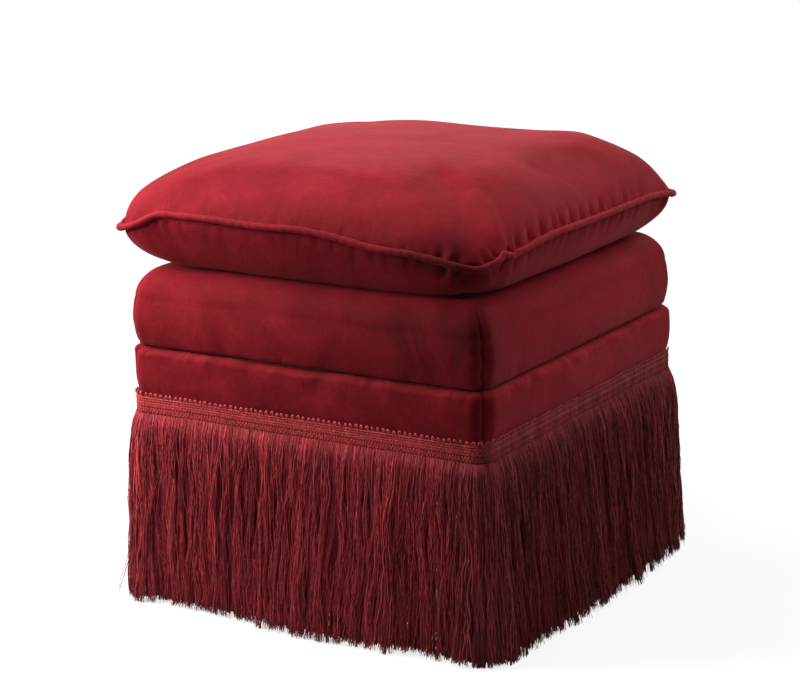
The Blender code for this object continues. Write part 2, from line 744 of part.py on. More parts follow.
def add_zip(parent):
    """The zip's tape with its closed chain."""
    tape = ZIP_TAPE_WIDTH / 2
    chain = ZIP_CHAIN_WIDTH / 2
    under = -GAP - ZIP_TAPE_THICKNESS
    section = [(-tape, -GAP), (-tape, under), (-chain, under), (-chain, under - ZIP_CHAIN_HEIGHT)]
    section += [(-y, z) for y, z in reversed(section)]
    set_on_zip_seat(add_extrusion("cushion_zip", section, ZIP_LENGTH, "zip_tape"), parent, 0)


def add_zip_slider(parent):
    """The slider, which runs on the chain between two side walls and has a raised bridge instead of a puller."""
    tape_face = -GAP - ZIP_TAPE_THICKNESS - GAP
    chain_face = -GAP - ZIP_TAPE_THICKNESS - ZIP_CHAIN_HEIGHT - GAP
    inner = ZIP_CHAIN_WIDTH / 2 + GAP
    outer = inner + SLIDER_WALL
    back = chain_face - SLIDER_WALL
    crown = SLIDER_CROWN_WIDTH / 2
    section = [(0, chain_face), (-inner, chain_face), (-inner, tape_face), (-outer, tape_face)]
    section += [(-outer, back + SLIDER_CHAMFER), (SLIDER_CHAMFER - outer, back), (-crown, back)]
    section += [(SLIDER_CHAMFER - crown, back - SLIDER_CROWN_HEIGHT)]
    section += [(-y, z) for y, z in reversed(section[1:])]
    part = add_extrusion("zip_slider", section, SLIDER_LENGTH, "zip_metal")
    set_on_zip_seat(part, parent, (SLIDER_LENGTH - ZIP_LENGTH) / 2)


def build_frame():
    for quarter, corner in enumerate(CORNERS):
        add_leg(corner, quarter)
        add_glide(corner, quarter)
        add_corner_block(corner, quarter)
    for quarter, side in enumerate(SIDES):
        add_rail("bottom_rail_" + side, quarter, rail_bottom, BOTTOM_RAIL_HEIGHT)
        add_rail("top_rail_" + side, quarter, seam_top, TOP_RAIL_HEIGHT)


def build_seat():
    for index in range(STRAPS_EACH_WAY):
        add_strap(f"strap_across_{index + 1}", index, crosswise=False)
        add_strap(f"strap_along_{index + 1}", index, crosswise=True)
    deck_outline = [point.xy for point in box_ring(rail_half, rail_corner_radius, 0)]
    add_plate("deck_cloth", deck_outline, deck_bottom, DECK_THICKNESS, "hessian")
    add_foam_block()
    add_wadding()
    add_seat_cover()
    add_band_wadding()
    add_lower_band()
    add_dust_cover()


def build_trim():
    for quarter, side in enumerate(SIDES):
        add_braid(side, quarter)
        add_fringe(side, quarter)


def build_cushion():
    """The cushion's pieces hang on an empty at its resting plane, where it lifts off the seat."""
    lift = bpy.data.objects.new("cushion_lift", None)
    stool_collection.objects.link(lift)
    lift.location = (0, 0, seat_top + GAP)
    flange = CUSHION_FLANGE_THICKNESS / 2
    add_cushion_panel("cushion_top", top_rings(0, flange), lift)
    add_cushion_panel("cushion_underside", under_rings(0, flange), lift)
    add_cushion_pad(lift)
    add_piping(lift)
    add_zip(lift)
    add_zip_slider(lift)


empty_scene()
stool_collection = new_collection("upholstered_stool")
build_frame()
build_seat()
build_trim()
build_cushion()
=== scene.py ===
"""Looks of a square upholstered stool: velvet seat, deep strand fringe and a loose piped cushion."""

import math

import bmesh
import bpy
import numpy as np
from mathutils import Matrix, Vector
from mathutils.kdtree import KDTree


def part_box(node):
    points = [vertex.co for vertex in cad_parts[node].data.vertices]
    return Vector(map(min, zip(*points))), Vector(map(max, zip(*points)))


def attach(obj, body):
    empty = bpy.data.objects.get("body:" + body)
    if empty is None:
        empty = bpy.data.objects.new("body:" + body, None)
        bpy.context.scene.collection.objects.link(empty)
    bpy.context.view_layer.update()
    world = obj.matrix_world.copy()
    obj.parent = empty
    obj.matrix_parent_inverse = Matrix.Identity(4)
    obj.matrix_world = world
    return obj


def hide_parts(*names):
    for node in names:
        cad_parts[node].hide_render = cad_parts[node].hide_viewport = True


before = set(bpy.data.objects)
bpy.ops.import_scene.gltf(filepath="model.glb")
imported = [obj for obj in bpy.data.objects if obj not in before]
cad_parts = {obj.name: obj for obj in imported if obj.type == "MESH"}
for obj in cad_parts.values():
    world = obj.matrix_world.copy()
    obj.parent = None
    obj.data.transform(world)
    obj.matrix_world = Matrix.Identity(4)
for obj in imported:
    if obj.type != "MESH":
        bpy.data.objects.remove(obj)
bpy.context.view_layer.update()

SIDES = ("front", "right", "back", "left")
CORNERS = ("front_right", "back_right", "back_left", "front_left")
# The way round a side or seam runs from 0 at the middle of the front left corner to 4
WAY_ROUND = 4.0
TINY = 1e-9

# Camera of the photograph, fitted to it
CAMERA_AZIMUTH = 31.2333
CAMERA_ELEVATION = 14.4191
CAMERA_ROLL = -1.0665
CAMERA_DISTANCE = 2.9738
CAMERA_RIGHT = -0.0094
CAMERA_UP = 0.2615
FOCAL_PIXELS = 2507.9569
PICTURE_WIDTH = 800
SENSOR_WIDTH = 36.0
CENTRE_SHIFT = 0.5
CLIP_END = 100

# Seat box and lower band
SEAT_HALF = 0.2285
SEAT_CORNER = 0.019
SHOULDER = 0.034
SIDE_FULLNESS = 0.0036
TUCK = 0.0074
LIP = 0.0044
GROOVE_DEPTH = 0.0030
GROOVE_WIDTH = 0.0024
DIP_DEPTH = 0.0022
DIP_WIDTH = 0.009
CORNER_CROWDING = 0.75

# Cushion
CUSHION_HALF = 0.2408
CUSHION_CORNER = 0.0383
PIPING_RADIUS = 0.0037
REST_MARGIN = 0.039
CUSHION_RINGS = 55
CLOTH_FRAMES = 20
CLOTH_PRESSURE = 4.0
CLOTH_LIMIT = 0.0045


# Meshes

def new_piece(name, material, points, *faces, smooth=True, tones=None):
    """A mesh object from points, arrays of faces with as many corners each, and how light each point is,
    painted shade included.
    """
    corners = np.concatenate([np.full(len(shape), shape.shape[1]) for shape in faces])
    indices = np.concatenate([shape.ravel() for shape in faces]).astype(np.int32)
    mesh = bpy.data.meshes.new(name)
    mesh.vertices.add(len(points))
    mesh.vertices.foreach_set("co", np.asarray(points, np.float32).ravel())
    mesh.loops.add(len(indices))
    mesh.loops.foreach_set("vertex_index", indices)
    mesh.polygons.add(len(corners))
    mesh.polygons.foreach_set("loop_start", (np.cumsum(corners) - corners).astype(np.int32))
    mesh.update(calc_edges=True)
    mesh.validate()
    mesh.polygons.foreach_set("use_smooth", np.full(len(corners), smooth))
    if tones is not None:
        layer = mesh.attributes.new("tone", "FLOAT", "POINT")
        layer.data.foreach_set("value", np.asarray(tones, np.float32))
    mesh.materials.append(material)
    piece = bpy.data.objects.new(name, mesh)
    bpy.context.scene.collection.objects.link(piece)
    return piece


def assign(piece, body, slot, *replaced):
    """Puts a piece on its body and hides the CAD nodes that it replaces; the slot is not used."""
    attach(piece, body)
    if replaced:
        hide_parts(*replaced)


def outward(piece, *rings):
    """Closes these rings of points with one many-sided face each, and turns all faces outwards."""
    made = bmesh.new()
    made.from_mesh(piece.data)
    made.verts.ensure_lookup_table()
    for ring in rings:
        made.faces.new([made.verts[number] for number in ring]).smooth = True
    bmesh.ops.recalc_face_normals(made, faces=made.faces)
    made.to_mesh(piece.data)
    made.free()


def end_rings(rows, columns):
    """Numbers of the points of the first and the last row."""
    return range(columns), range((rows - 1) * columns, rows * columns)


def grid_faces(rows, columns):
    """Quads between rows of points, each row a closed ring."""
    row, column = np.meshgrid(np.arange(rows - 1), np.arange(columns), indexing="ij")
    after = (column + 1) % columns
    here, below = row * columns, (row + 1) * columns
    quads = (here + column, here + after, below + after, below + column)
    return np.stack([quad.ravel() for quad in quads], axis=1)


def closing_faces(rows, columns):
    """Quads between the last row of points and the first."""
    first = np.arange(columns)
    last = (rows - 1) * columns + first
    return np.stack([last, np.roll(last, -1), np.roll(first, -1), first], axis=1)


def capped(rings):
    """Points and faces of a tube through these rings, with its ends drawn together."""
    ends = (rings[:1].mean(axis=1, keepdims=True), rings[-1:].mean(axis=1, keepdims=True))
    first, last = (np.repeat(middle, rings.shape[1], axis=1) for middle in ends)
    rings = np.concatenate([first, rings, last])
    return rings.reshape(-1, 3), grid_faces(*rings.shape[:2])


def joined(parts):
    """One array of points and one of faces from several of each."""
    starts = np.cumsum([0] + [len(points) for points, _ in parts])
    faces = [part[1] + start for part, start in zip(parts, starts)]
    return np.concatenate([points for points, _ in parts]), np.concatenate(faces)


def only_used(points, faces):
    """The points that faces use, the faces renumbered to match, and the numbers of these points."""
    used = np.unique(faces)
    renumber = np.zeros(len(points), int)
    renumber[used] = np.arange(len(used))
    return points[used], renumber[faces], used


def sheet_quads(table):
    """Quads between the numbers in a table."""
    corners = (table[:-1, :-1], table[1:, :-1], table[1:, 1:], table[:-1, 1:])
    return np.stack(corners, axis=-1)


# Shapes

def with_level(plan, level):
    """Points or directions in space from ones in plan and their level."""
    level = np.broadcast_to(level, plan.shape[:-1])
    return np.concatenate([plan, level[..., None]], axis=-1)


def turned(points, quarter):
    """Points turned by quarters of a turn about the stool's middle."""
    cosine, sine = ((1, 0), (0, 1), (-1, 0), (0, -1))[quarter % 4]
    x, y = points[..., 0], points[..., 1]
    out = points.copy()
    out[..., 0] = cosine * x - sine * y
    out[..., 1] = sine * x + cosine * y
    return out


def side_point(reach, radius, t):
    """Plan point and normal on a rounded square's front, t from -1 to 1 between its corners' middles."""
    reach, radius, t = np.broadcast_arrays(reach, radius, t)
    straight = reach - radius
    length = straight + radius * math.pi / 4
    along = np.abs(t) * length
    turn = np.where(along > straight, (along - straight) / np.maximum(radius, TINY), 0)
    sign = np.sign(t)
    x = sign * (np.minimum(along, straight) + radius * np.sin(turn))
    y = -straight - radius * np.cos(turn)
    normal = np.stack([sign * np.sin(turn), -np.cos(turn)], axis=-1)
    return np.stack([x, y], axis=-1), normal


def quarter_turn(count):
    """Angles from 0 to a quarter of a turn."""
    return [math.pi / 2 * step / (count - 1) for step in range(count)]


def circle(count):
    """Angles round a circle."""
    return np.arange(count) * math.tau / count


def bell(distance, width):
    """A share that is 1 at no distance and fades to both sides."""
    return np.exp(-(distance / width) ** 2)


def ramped(distance, length):
    """A share that grows from 0 to 1 over this length."""
    return np.clip(distance / length, 0, 1)


# Noise as a sum of sine waves: how many, how much their lengths differ, and what brings the sum to about 1
WAVE_COUNT = 14
WAVE_STRETCHES = (0.6, 1.5)
WAVE_SWING = 1.6
# Lines given round the way: how finely they are worked out
WAY_STEPS = 800


def waves(points, size, seed):
    """Smooth seeded noise between about -1 and 1, with features of this size."""
    draw = np.random.default_rng(seed)
    total = np.zeros(points.shape[:-1])
    for _ in range(WAVE_COUNT):
        direction = draw.normal(size=points.shape[-1])
        direction /= np.linalg.norm(direction)
        stretch = draw.uniform(*WAVE_STRETCHES)
        phase = draw.uniform(0, math.tau)
        total += np.sin(points @ direction * (math.tau / size * stretch) + phase)
    return total / math.sqrt(WAVE_COUNT / 2) / WAVE_SWING


def periodic(places, values, at, blur):
    """Values given round the way, joined and softened, read at these places."""
    grid = np.arange(WAY_STEPS) * WAY_ROUND / WAY_STEPS
    order = np.argsort(places)
    places, values = np.asarray(places, float)[order], np.asarray(values, float)[order]
    wide_places = np.concatenate([places - WAY_ROUND, places, places + WAY_ROUND])
    line = np.interp(grid, wide_places, np.tile(values, 3))
    distance = np.minimum(grid, WAY_ROUND - grid)
    kernel = np.exp(-0.5 * (distance / blur) ** 2)
    line = np.real(np.fft.ifft(np.fft.fft(line) * np.fft.fft(kernel / kernel.sum())))
    return np.interp(np.mod(at, WAY_ROUND), np.append(grid, WAY_ROUND), np.append(line, line[0]))


def wander(count, seed, at, blur):
    """A softened line through this many seeded values between -1 and 1 round the way."""
    values = np.random.default_rng(seed).uniform(-1, 1, count)
    return periodic(np.linspace(0, WAY_ROUND, count, endpoint=False), values, at, blur)


# Materials

# A patch's clouded edge: how much the cloud moves it, and where it starts and ends as shares of the reach
PATCH_CLOUD = 0.7
PATCH_START = 0.35
PATCH_END = 1.45


def feed(tree, socket, value):
    """Links another node's output to a socket, or sets the socket's own value."""
    if isinstance(value, bpy.types.NodeSocket):
        tree.links.new(value, socket)
    else:
        socket.default_value = value


def add_node(tree, kind, inputs=None, **settings):
    """A new node with these settings, its inputs fed by name or by number."""
    made = tree.nodes.new(kind)
    for name, value in settings.items():
        setattr(made, name, value)
    for name, value in (inputs or {}).items():
        feed(tree, made.inputs[name], value)
    return made


class Paint:
    """A material with a Principled shader and short calls for the nodes that feed it."""

    def __init__(self, name, **constants):
        self.material = bpy.data.materials.new(name)
        self.material.use_nodes = True
        self.tree = self.material.node_tree
        self.shader = self.tree.nodes["Principled BSDF"]
        for socket, value in constants.items():
            self.shader.inputs[socket.replace("_", " ")].default_value = value
        self.place = self.node("ShaderNodeTexCoord").outputs["Object"]

    def node(self, kind, inputs=None, **settings):
        return add_node(self.tree, kind, inputs, **settings)

    def noise(self, scale=(1, 1, 1), size=1.0, detail=3.0, rough=0.55, distortion=0.0):
        place = self.node("ShaderNodeMapping", {"Vector": self.place, "Scale": scale}).outputs["Vector"]
        inputs = {"Vector": place, "Scale": size, "Detail": detail, "Roughness": rough,
                  "Distortion": distortion}
        return self.node("ShaderNodeTexNoise", inputs).outputs["Fac"]

    def ramp(self, fac, stops):
        made = self.node("ShaderNodeValToRGB", {"Fac": fac})
        elements = made.color_ramp.elements
        while len(elements) < len(stops):
            elements.new(0.5)
        for element, (place, colour) in zip(elements, stops):
            element.position = place
            element.color = (*colour, 1.0)
        return made.outputs["Color"]

    def blend(self, fac, first, second, mode="MIX"):
        made = self.node("ShaderNodeMix", {"Factor": fac}, data_type="RGBA", blend_type=mode)
        colours = [socket for socket in made.inputs if socket.type == "RGBA"]
        feed(self.tree, colours[0], first)
        feed(self.tree, colours[1], second)
        return next(socket for socket in made.outputs if socket.type == "RGBA")

    def patched(self, colour, patches, cloud):
        """The colour times a grey that falls to each patch's tone round its middle, with a clouded edge."""
        shift = self.maths("MULTIPLY", cloud, PATCH_CLOUD)
        for middle, reach, tone in patches:
            scale = [1 / size for size in reach]
            location = [-at / size for at, size in zip(middle, reach)]
            inputs = {"Vector": self.place, "Scale": scale, "Location": location}
            place = self.node("ShaderNodeMapping", inputs).outputs["Vector"]
            length = self.node("ShaderNodeVectorMath", {0: place}, operation="LENGTH")
            inputs = {"Value": self.maths("ADD", length.outputs["Value"], shift), "From Min": PATCH_START,
                      "From Max": PATCH_END, "To Min": tone, "To Max": 1.0}
            grey = self.node("ShaderNodeMapRange", inputs, interpolation_type="SMOOTHSTEP").outputs["Result"]
            even = self.node("ShaderNodeCombineColor", {"Red": grey, "Green": grey, "Blue": grey})
            colour = self.blend(1.0, colour, even.outputs["Color"], "MULTIPLY")
        return colour

    def maths(self, operation, first, second):
        return self.node("ShaderNodeMath", {0: first, 1: second}, operation=operation).outputs["Value"]

    def weigh(self, *pairs):
        """Sum of these values, each times its weight."""
        total = None
        for value, weight in pairs:
            part = self.maths("MULTIPLY", value, weight)
            total = part if total is None else self.maths("ADD", total, part)
        return total

    def ranged(self, value, span, low):
        """The value times the span, on top of the low."""
        return self.maths("ADD", self.maths("MULTIPLY", value, span), low)

    def bump(self, height, distance, strength, normal=None):
        inputs = {"Strength": strength, "Distance": distance, "Height": height}
        if normal is not None:
            inputs["Normal"] = normal
        return self.node("ShaderNodeBump", inputs).outputs["Normal"]

    def finish(self, colour, normal, roughness=None):
        feed(self.tree, self.shader.inputs["Base Color"], colour)
        feed(self.tree, self.shader.inputs["Normal"], normal)
        if roughness is not None:
            feed(self.tree, self.shader.inputs["Roughness"], roughness)
        return self.material


# Patches of the velvet by middle, reach and tone: painted shade over the front, deeper towards its right and
# under the cushion's front, deeper painted shade round the near corner, and painted light on the right side
VELVET_PAINTED_LIGHT_AND_SHADE = (
    ((0.105, -0.250, 0.370), (0.300, 0.085, 0.220), 0.62),
    ((0.212, -0.250, 0.388), (0.122, 0.066, 0.130), 0.16),
    ((0.260, 0.030, 0.350), (0.060, 0.250, 0.220), 1.25),
)
# Patches of the trim: painted shade over the right side and the right part of the front, and painted light at
# the front's left end
TRIM_PAINTED_LIGHT_AND_SHADE = (
    ((0.320, 0.000, 0.120), (0.200, 3.000, 3.000), 0.23),
    ((-0.180, -0.280, 0.120), (0.110, 0.100, 0.400), 1.28),
)
WHITE = (1.0, 1.0, 1.0)
SPECK_GREY = (0.55, 0.55, 0.55)


def velvet(name, dark, middle, light, nap=1.0):
    """Cut velvet: clouded nap, faint streaks of the pile, and a red sheen."""
    paint = Paint(name, Roughness=0.72, Sheen_Weight=0.50, Sheen_Roughness=0.30,
                  Sheen_Tint=(0.86, 0.215, 0.235, 1.0), Specular_IOR_Level=0.05)
    cloud = paint.noise(size=13.0, detail=6.0, rough=0.62, distortion=0.8)
    mottle = paint.noise(size=75.0, detail=4.0, rough=0.65, distortion=0.5)
    streaks = paint.noise(scale=(420, 420, 90))
    pile = paint.noise(size=1100.0, detail=2.0)
    grain = paint.noise(scale=(620, 620, 330), rough=0.7)
    tone = paint.weigh((cloud, 0.50), (mottle, 0.22), (streaks, 0.12), (grain, 0.16))
    colour = paint.ramp(tone, [(0.34, dark), (0.50, middle), (0.66, light)])
    # Painted light and shade: the velvet darkens over the front and round the near corner, and lightens on
    # the right side
    colour = paint.patched(colour, VELVET_PAINTED_LIGHT_AND_SHADE, cloud)
    normal = None
    for height, distance, strength in ((cloud, 0.006, 0.25), (mottle, 0.0016, 0.3), (streaks, 0.0009, 0.25),
                                       (grain, 0.0012, 0.35)):
        normal = paint.bump(height, distance * nap, strength, normal)
    normal = paint.bump(pile, distance=0.0006, strength=0.4, normal=normal)
    return paint.finish(colour, normal, paint.ranged(mottle, 0.18, 0.64))


def thread(name, dark, middle, light, across, along, sheen, bright, bright_levels):
    """Spun yarn: its colour changes from thread to thread, by each point's tone, which holds painted shade
    too, and above a level; painted light and shade lie over it by place.
    """
    paint = Paint(name, Roughness=0.68, Sheen_Weight=sheen, Sheen_Roughness=0.5,
                  Sheen_Tint=(1.0, 0.35, 0.35, 1.0), Specular_IOR_Level=0.12)
    strands = paint.noise(scale=(across, across, along), detail=2.0, rough=0.6)
    clumps = paint.noise(scale=(90, 90, 5), detail=2.0)
    nubs = paint.noise(scale=(500, 500, 190), detail=2.0)
    fibre = paint.noise(size=1400.0, detail=2.0)
    tone = paint.weigh((strands, 0.35), (clumps, 0.25), (nubs, 0.40))
    colour = paint.ramp(tone, [(0.40, dark), (0.50, middle), (0.60, light)])
    # Above a level the colour turns to the bright one: on the braid a painted highlight over its top edge and
    # picot loops
    height = paint.node("ShaderNodeSeparateXYZ", {"Vector": paint.place}).outputs["Z"]
    inputs = {"Value": height, "From Min": bright_levels[0], "From Max": bright_levels[1]}
    colour = paint.blend(paint.node("ShaderNodeMapRange", inputs).outputs["Result"], colour, (*bright, 1.0))
    # Each point's tone, with painted shade in the heading's hollows and behind the fringe's locks
    tones = paint.node("ShaderNodeAttribute", attribute_name="tone")
    colour = paint.blend(1.0, colour, tones.outputs["Color"], "MULTIPLY")
    # Painted shade on the right side's trim and painted light at the left end of the front
    colour = paint.patched(colour, TRIM_PAINTED_LIGHT_AND_SHADE, clumps)
    normal = paint.bump(fibre, distance=0.0004, strength=0.5)
    return paint.finish(colour, normal, paint.ranged(fibre, 0.2, 0.56))


def woven(name, dark, light, pitch, slope=0.0006):
    """Plain weave of two crossing yarns."""
    paint = Paint(name, Roughness=0.9)
    bands_per_scale = 6.3
    inputs = {"Vector": paint.place, "Scale": 1 / pitch / bands_per_scale, "Distortion": 1.2, "Detail": 1.5}
    yarns = [paint.node("ShaderNodeTexWave", inputs, wave_type="BANDS", bands_direction=axis).outputs["Fac"]
             for axis in "XY"]
    slub = paint.noise(size=160.0, detail=4.0)
    tone = paint.weigh((paint.maths("MULTIPLY", *yarns), 0.5), (slub, 0.6))
    return paint.finish(paint.ramp(tone, [(0.15, dark), (0.75, light)]), paint.bump(tone, slope, 0.7))


def plain_cloth(name, dark, light):
    """Fibrous cloth with no weave, such as non-woven cloth."""
    paint = Paint(name, Roughness=0.92)
    fibres = paint.noise(size=500.0, detail=5.0, rough=0.7, distortion=1.0)
    tone = paint.weigh((fibres, 0.6), (paint.noise(size=30.0), 0.4))
    normal = paint.bump(fibres, distance=0.0008, strength=0.6)
    return paint.finish(paint.ramp(tone, [(0.3, dark), (0.7, light)]), normal)


def timber(name, dark, light, grain):
    """Planed beech, its grain along one axis, with small dark flecks."""
    paint = Paint(name, Roughness=0.5)
    figure_scale = [46.0, 46.0, 46.0]
    figure_scale[grain] = 2.6
    fleck_scale = [700.0, 700.0, 700.0]
    fleck_scale[grain] = 90.0
    figure = paint.noise(scale=figure_scale, detail=5.0, rough=0.65, distortion=0.4)
    flecks = paint.noise(scale=fleck_scale, detail=1.0)
    wood = paint.ramp(figure, [(0.30, dark), (0.68, light)])
    speck = paint.ramp(flecks, [(0.30, SPECK_GREY), (0.42, WHITE)])
    normal = paint.bump(flecks, distance=0.0002, strength=0.5)
    return paint.finish(paint.blend(0.8, wood, speck, "MULTIPLY"), normal, paint.ranged(figure, 0.25, 0.42))


def hazed(name, low, high, size, detail, height, strength, shine, **constants):
    """Hard moulded or cast stuff with a faint haze and a little unevenness."""
    paint = Paint(name, **constants)
    haze = paint.noise(size=size, detail=detail)
    colour = paint.ramp(haze, [(0.3, low), (0.7, high)])
    return paint.finish(colour, paint.bump(haze, height, strength), paint.ranged(haze, 0.3, shine))


FINISH = {
    "velvet": velvet("cut_velvet", (0.160, 0.0064, 0.0112), (0.232, 0.0100, 0.0168), (0.318, 0.0160, 0.0248)),
    # The piping's velvet is the cover's made a little lighter and pinker: painted light on the cord
    "velvet_piping": velvet("piping_velvet", (0.180, 0.0085, 0.0140), (0.256, 0.0130, 0.0210),
                            (0.335, 0.0205, 0.0305), nap=0.6),
    # The braid's bright colour over its top edge and picot loops is a painted highlight
    "braid": thread("woven_braid", (0.400, 0.0380, 0.0450), (0.550, 0.0570, 0.0650), (0.700, 0.0880, 0.0980),
                    across=700, along=500, sheen=0.15, bright=(0.600, 0.1000, 0.1100),
                    bright_levels=(0.2385, 0.2425)),
    "fringe": thread("spun_strands", (0.225, 0.0205, 0.0280), (0.375, 0.0355, 0.0475),
                     (0.540, 0.0620, 0.0780), across=520, along=9, sheen=0.20,
                     bright=(0.300, 0.0275, 0.0365), bright_levels=(0.208, 0.230)),
    "webbing": woven("jute_webbing", (0.26, 0.18, 0.10), (0.52, 0.41, 0.27), pitch=0.0022),
    "hessian": woven("hessian_cloth", (0.30, 0.22, 0.13), (0.56, 0.46, 0.32), pitch=0.0016),
    "dust_cloth": plain_cloth("black_cloth", (0.012, 0.012, 0.014), (0.040, 0.040, 0.045)),
    "zip_tape": woven("zip_weave", (0.11, 0.010, 0.016), (0.24, 0.024, 0.036), pitch=0.0009, slope=0.0002),
    "zip_metal": hazed("zip_brass", (0.42, 0.30, 0.14), (0.66, 0.50, 0.27), size=400.0, detail=4.0,
                       height=0.0001, strength=0.5, shine=0.22, Roughness=0.35, Metallic=1.0),
    "glide": hazed("glide_plastic", (0.05, 0.046, 0.042), (0.10, 0.092, 0.085), size=120.0, detail=3.0,
                   height=0.0002, strength=0.4, shine=0.3, Roughness=0.45),
}
WOOD_DARK = (0.36, 0.21, 0.10)
WOOD_LIGHT = (0.60, 0.41, 0.23)
WOODS = [timber(f"beech_{axis}", WOOD_DARK, WOOD_LIGHT, index) for index, axis in enumerate("xyz")]


# Seat box and lower band

seat_low, seat_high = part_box("seat_cover")
rail_low, rail_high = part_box("bottom_rail_front")
braid_low, braid_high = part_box("braid_front")
under_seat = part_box("seat_foam")[0].z
seam_top = seat_low.z
seam_bottom = rail_high.z
seat_top = seat_high.z
rail_half = rail_high.x

SKIN = 0.0004
SEAT_SIDE = 0.445
RAIL_CORNER = 0.0104
HUB = 0.004
SEAT_COLUMNS = 290
SIDE_STEPS = 16
TOP_STEPS = 14
TUCK_BACK = 0.0020
TUCK_FOOT = 0.0012
TUCK_TURN = 0.0085
SEAM_WAVER = 0.0009
SEAM_WAVER_LENGTH = 0.028
SEAM_FADE = 0.010
TOP_FADE = 0.012
UNDER_EDGE = 0.002
# Swells: length, height and seed
SEAT_SWELLS = ((0.23, 0.0012, 3), (0.07, 0.0004, 4))
TOP_SWELLS = ((0.11, 0.0005, 8),)
SEAT_SAG = 0.00132
TOP_EDGE = 0.0005
# Puckers: seed, then the ranges of their spacing, depth and half width
SEAT_PUCKERS = (21, (0.030, 0.075), (0.0003, 0.0010), (0.0025, 0.0060))
SEAT_PUCKER_FALL = 0.016
PUCKER_SLANTS = (-0.25, 0.25)
# A fold is steep on one side and less so on the other, with a low ridge beside it, all in half widths
FOLD_STEEP = 0.7
FOLD_EASY = 1.5
RIDGE_HEIGHT = 0.30
RIDGE_PLACE = 2.6
RIDGE_WIDTH = 1.6

BAND_COLUMNS = 340
FACE_STEPS = 17
LIP_GAP = 0.0003
LIP_TURN = 0.0072
FACE_FOOT = 0.001
BAND_HEM = 0.002
BAND_BACK = 0.002
BAND_BACK_FADE = 0.004
BAND_FOOT_FADE = 0.006
BAND_TOP_FADE = 0.012
# Puckers under the seam and how fast they fade: broad creases, then small knots
BAND_PUCKERS = (((5, (0.022, 0.075), (0.0010, 0.0030), (0.0040, 0.0090)), 0.010),
                ((6, (0.030, 0.110), (0.0008, 0.0022), (0.0012, 0.0022)), 0.006))
LIP_SWELLS = ((0.045, 0.0014, 12),)
BAND_SWELLS = ((0.16, 0.0010, 13),)
LIP_UNEVEN = 0.0018


def ring_points(profile, columns):
    """Rows of points of a rounded square's rings, with each point's outward normal and its way round."""
    even = np.linspace(-1, 1, columns, endpoint=False)
    t = even + CORNER_CROWDING * np.sin(math.pi * even) / math.pi
    reach, radius, level = (np.array(values)[:, None] for values in zip(*profile))
    plan, normal = side_point(reach, radius, t[None, :])
    points, normals = (np.concatenate([turned(front, quarter) for quarter in range(4)], axis=1)
                       for front in (with_level(plan, level), with_level(normal, 0)))
    way = np.concatenate([quarter + (t + 1) / 2 for quarter in range(4)])
    return points, normals, np.broadcast_to(way, points.shape[:2])


def way_gap(way, place):
    """Shortest way round from a place, with its sign."""
    return (way - place + WAY_ROUND / 2) % WAY_ROUND - WAY_ROUND / 2


def from_corner(way, side_length):
    """Distance round from the nearest corner's middle, with its sign."""
    return (way - np.round(way)) * side_length


def corner_groove(from_seam):
    """Depth of the seam at a corner: a narrow groove in a shallow dip."""
    return GROOVE_DEPTH * bell(from_seam, GROOVE_WIDTH) + DIP_DEPTH * bell(from_seam, DIP_WIDTH)


def swells(points, table):
    """Slow unevenness, from a table of lengths, heights and seeds."""
    return sum(waves(points, length, seed) * height for length, height, seed in table)


def puckers(seed, spacing, depth, width):
    """Seeded list of (place, depth, half width, slant) of the dents round an edge of the seat."""
    draw = np.random.default_rng(seed)
    found = []
    at = 0.0
    while at < WAY_ROUND:
        at += draw.uniform(*spacing) / SEAT_SIDE
        found.append((at, draw.uniform(*depth), draw.uniform(*width), draw.uniform(*PUCKER_SLANTS)))
    return found


def dents(way, away, found, fall, side_length):
    """Depth of the creases that run off an edge and fade with the distance away from it."""
    total = np.zeros(way.shape)
    for place, depth, width, slant in found:
        gap = way_gap(way, place) * side_length - slant * away
        spread = width * (1 + away / fall)
        fold = bell(gap, np.where(gap < 0, FOLD_STEEP, FOLD_EASY) * spread)
        fold = fold - RIDGE_HEIGHT * bell(gap - RIDGE_PLACE * spread, RIDGE_WIDTH * spread)
        total += depth * fold * bell(away, fall)
    return total


def seat_profile():
    """Section of the seat: out under it, down over the rails, up its side and in over its top."""
    inner = rail_half + SKIN
    wall = inner + SKIN
    behind = seam_bottom + SKIN
    edge = SEAT_HALF - SHOULDER
    rows = [(HUB, HUB / 2, under_seat), (rail_half - SHOULDER, RAIL_CORNER, under_seat),
            (inner, RAIL_CORNER, under_seat), (inner, RAIL_CORNER, behind), (wall, RAIL_CORNER, behind),
            (wall, RAIL_CORNER, seam_top + TUCK_BACK)]
    for angle in quarter_turn(6):
        inset = TUCK * (1 - math.sin(angle))
        level = seam_top + TUCK_FOOT + TUCK_TURN * (1 - math.cos(angle))
        rows.append((SEAT_HALF - inset, SEAT_CORNER - inset, level))
    side_low = rows[-1][2]
    side_high = seat_top - SHOULDER
    for step in range(1, SIDE_STEPS):
        share = step / SIDE_STEPS
        full = SIDE_FULLNESS * math.sin(math.pi * share) ** 0.8
        rows.append((SEAT_HALF + full, SEAT_CORNER + full, side_low + (side_high - side_low) * share))
    for angle in quarter_turn(15):
        inset = 1 - math.cos(angle)
        level = seat_top - SHOULDER * (1 - math.sin(angle))
        rows.append((SEAT_HALF - SHOULDER * inset, SEAT_CORNER * (1 - 0.5 * inset), level))
    for step in range(1, TOP_STEPS):
        share = 1 - step / TOP_STEPS
        squareness = share ** 2 * (1 - SEAT_CORNER * 0.5 / edge)
        rows.append((edge * share, edge * share * (1 - squareness), seat_top))
    rows.append((HUB, HUB, seat_top))
    return rows


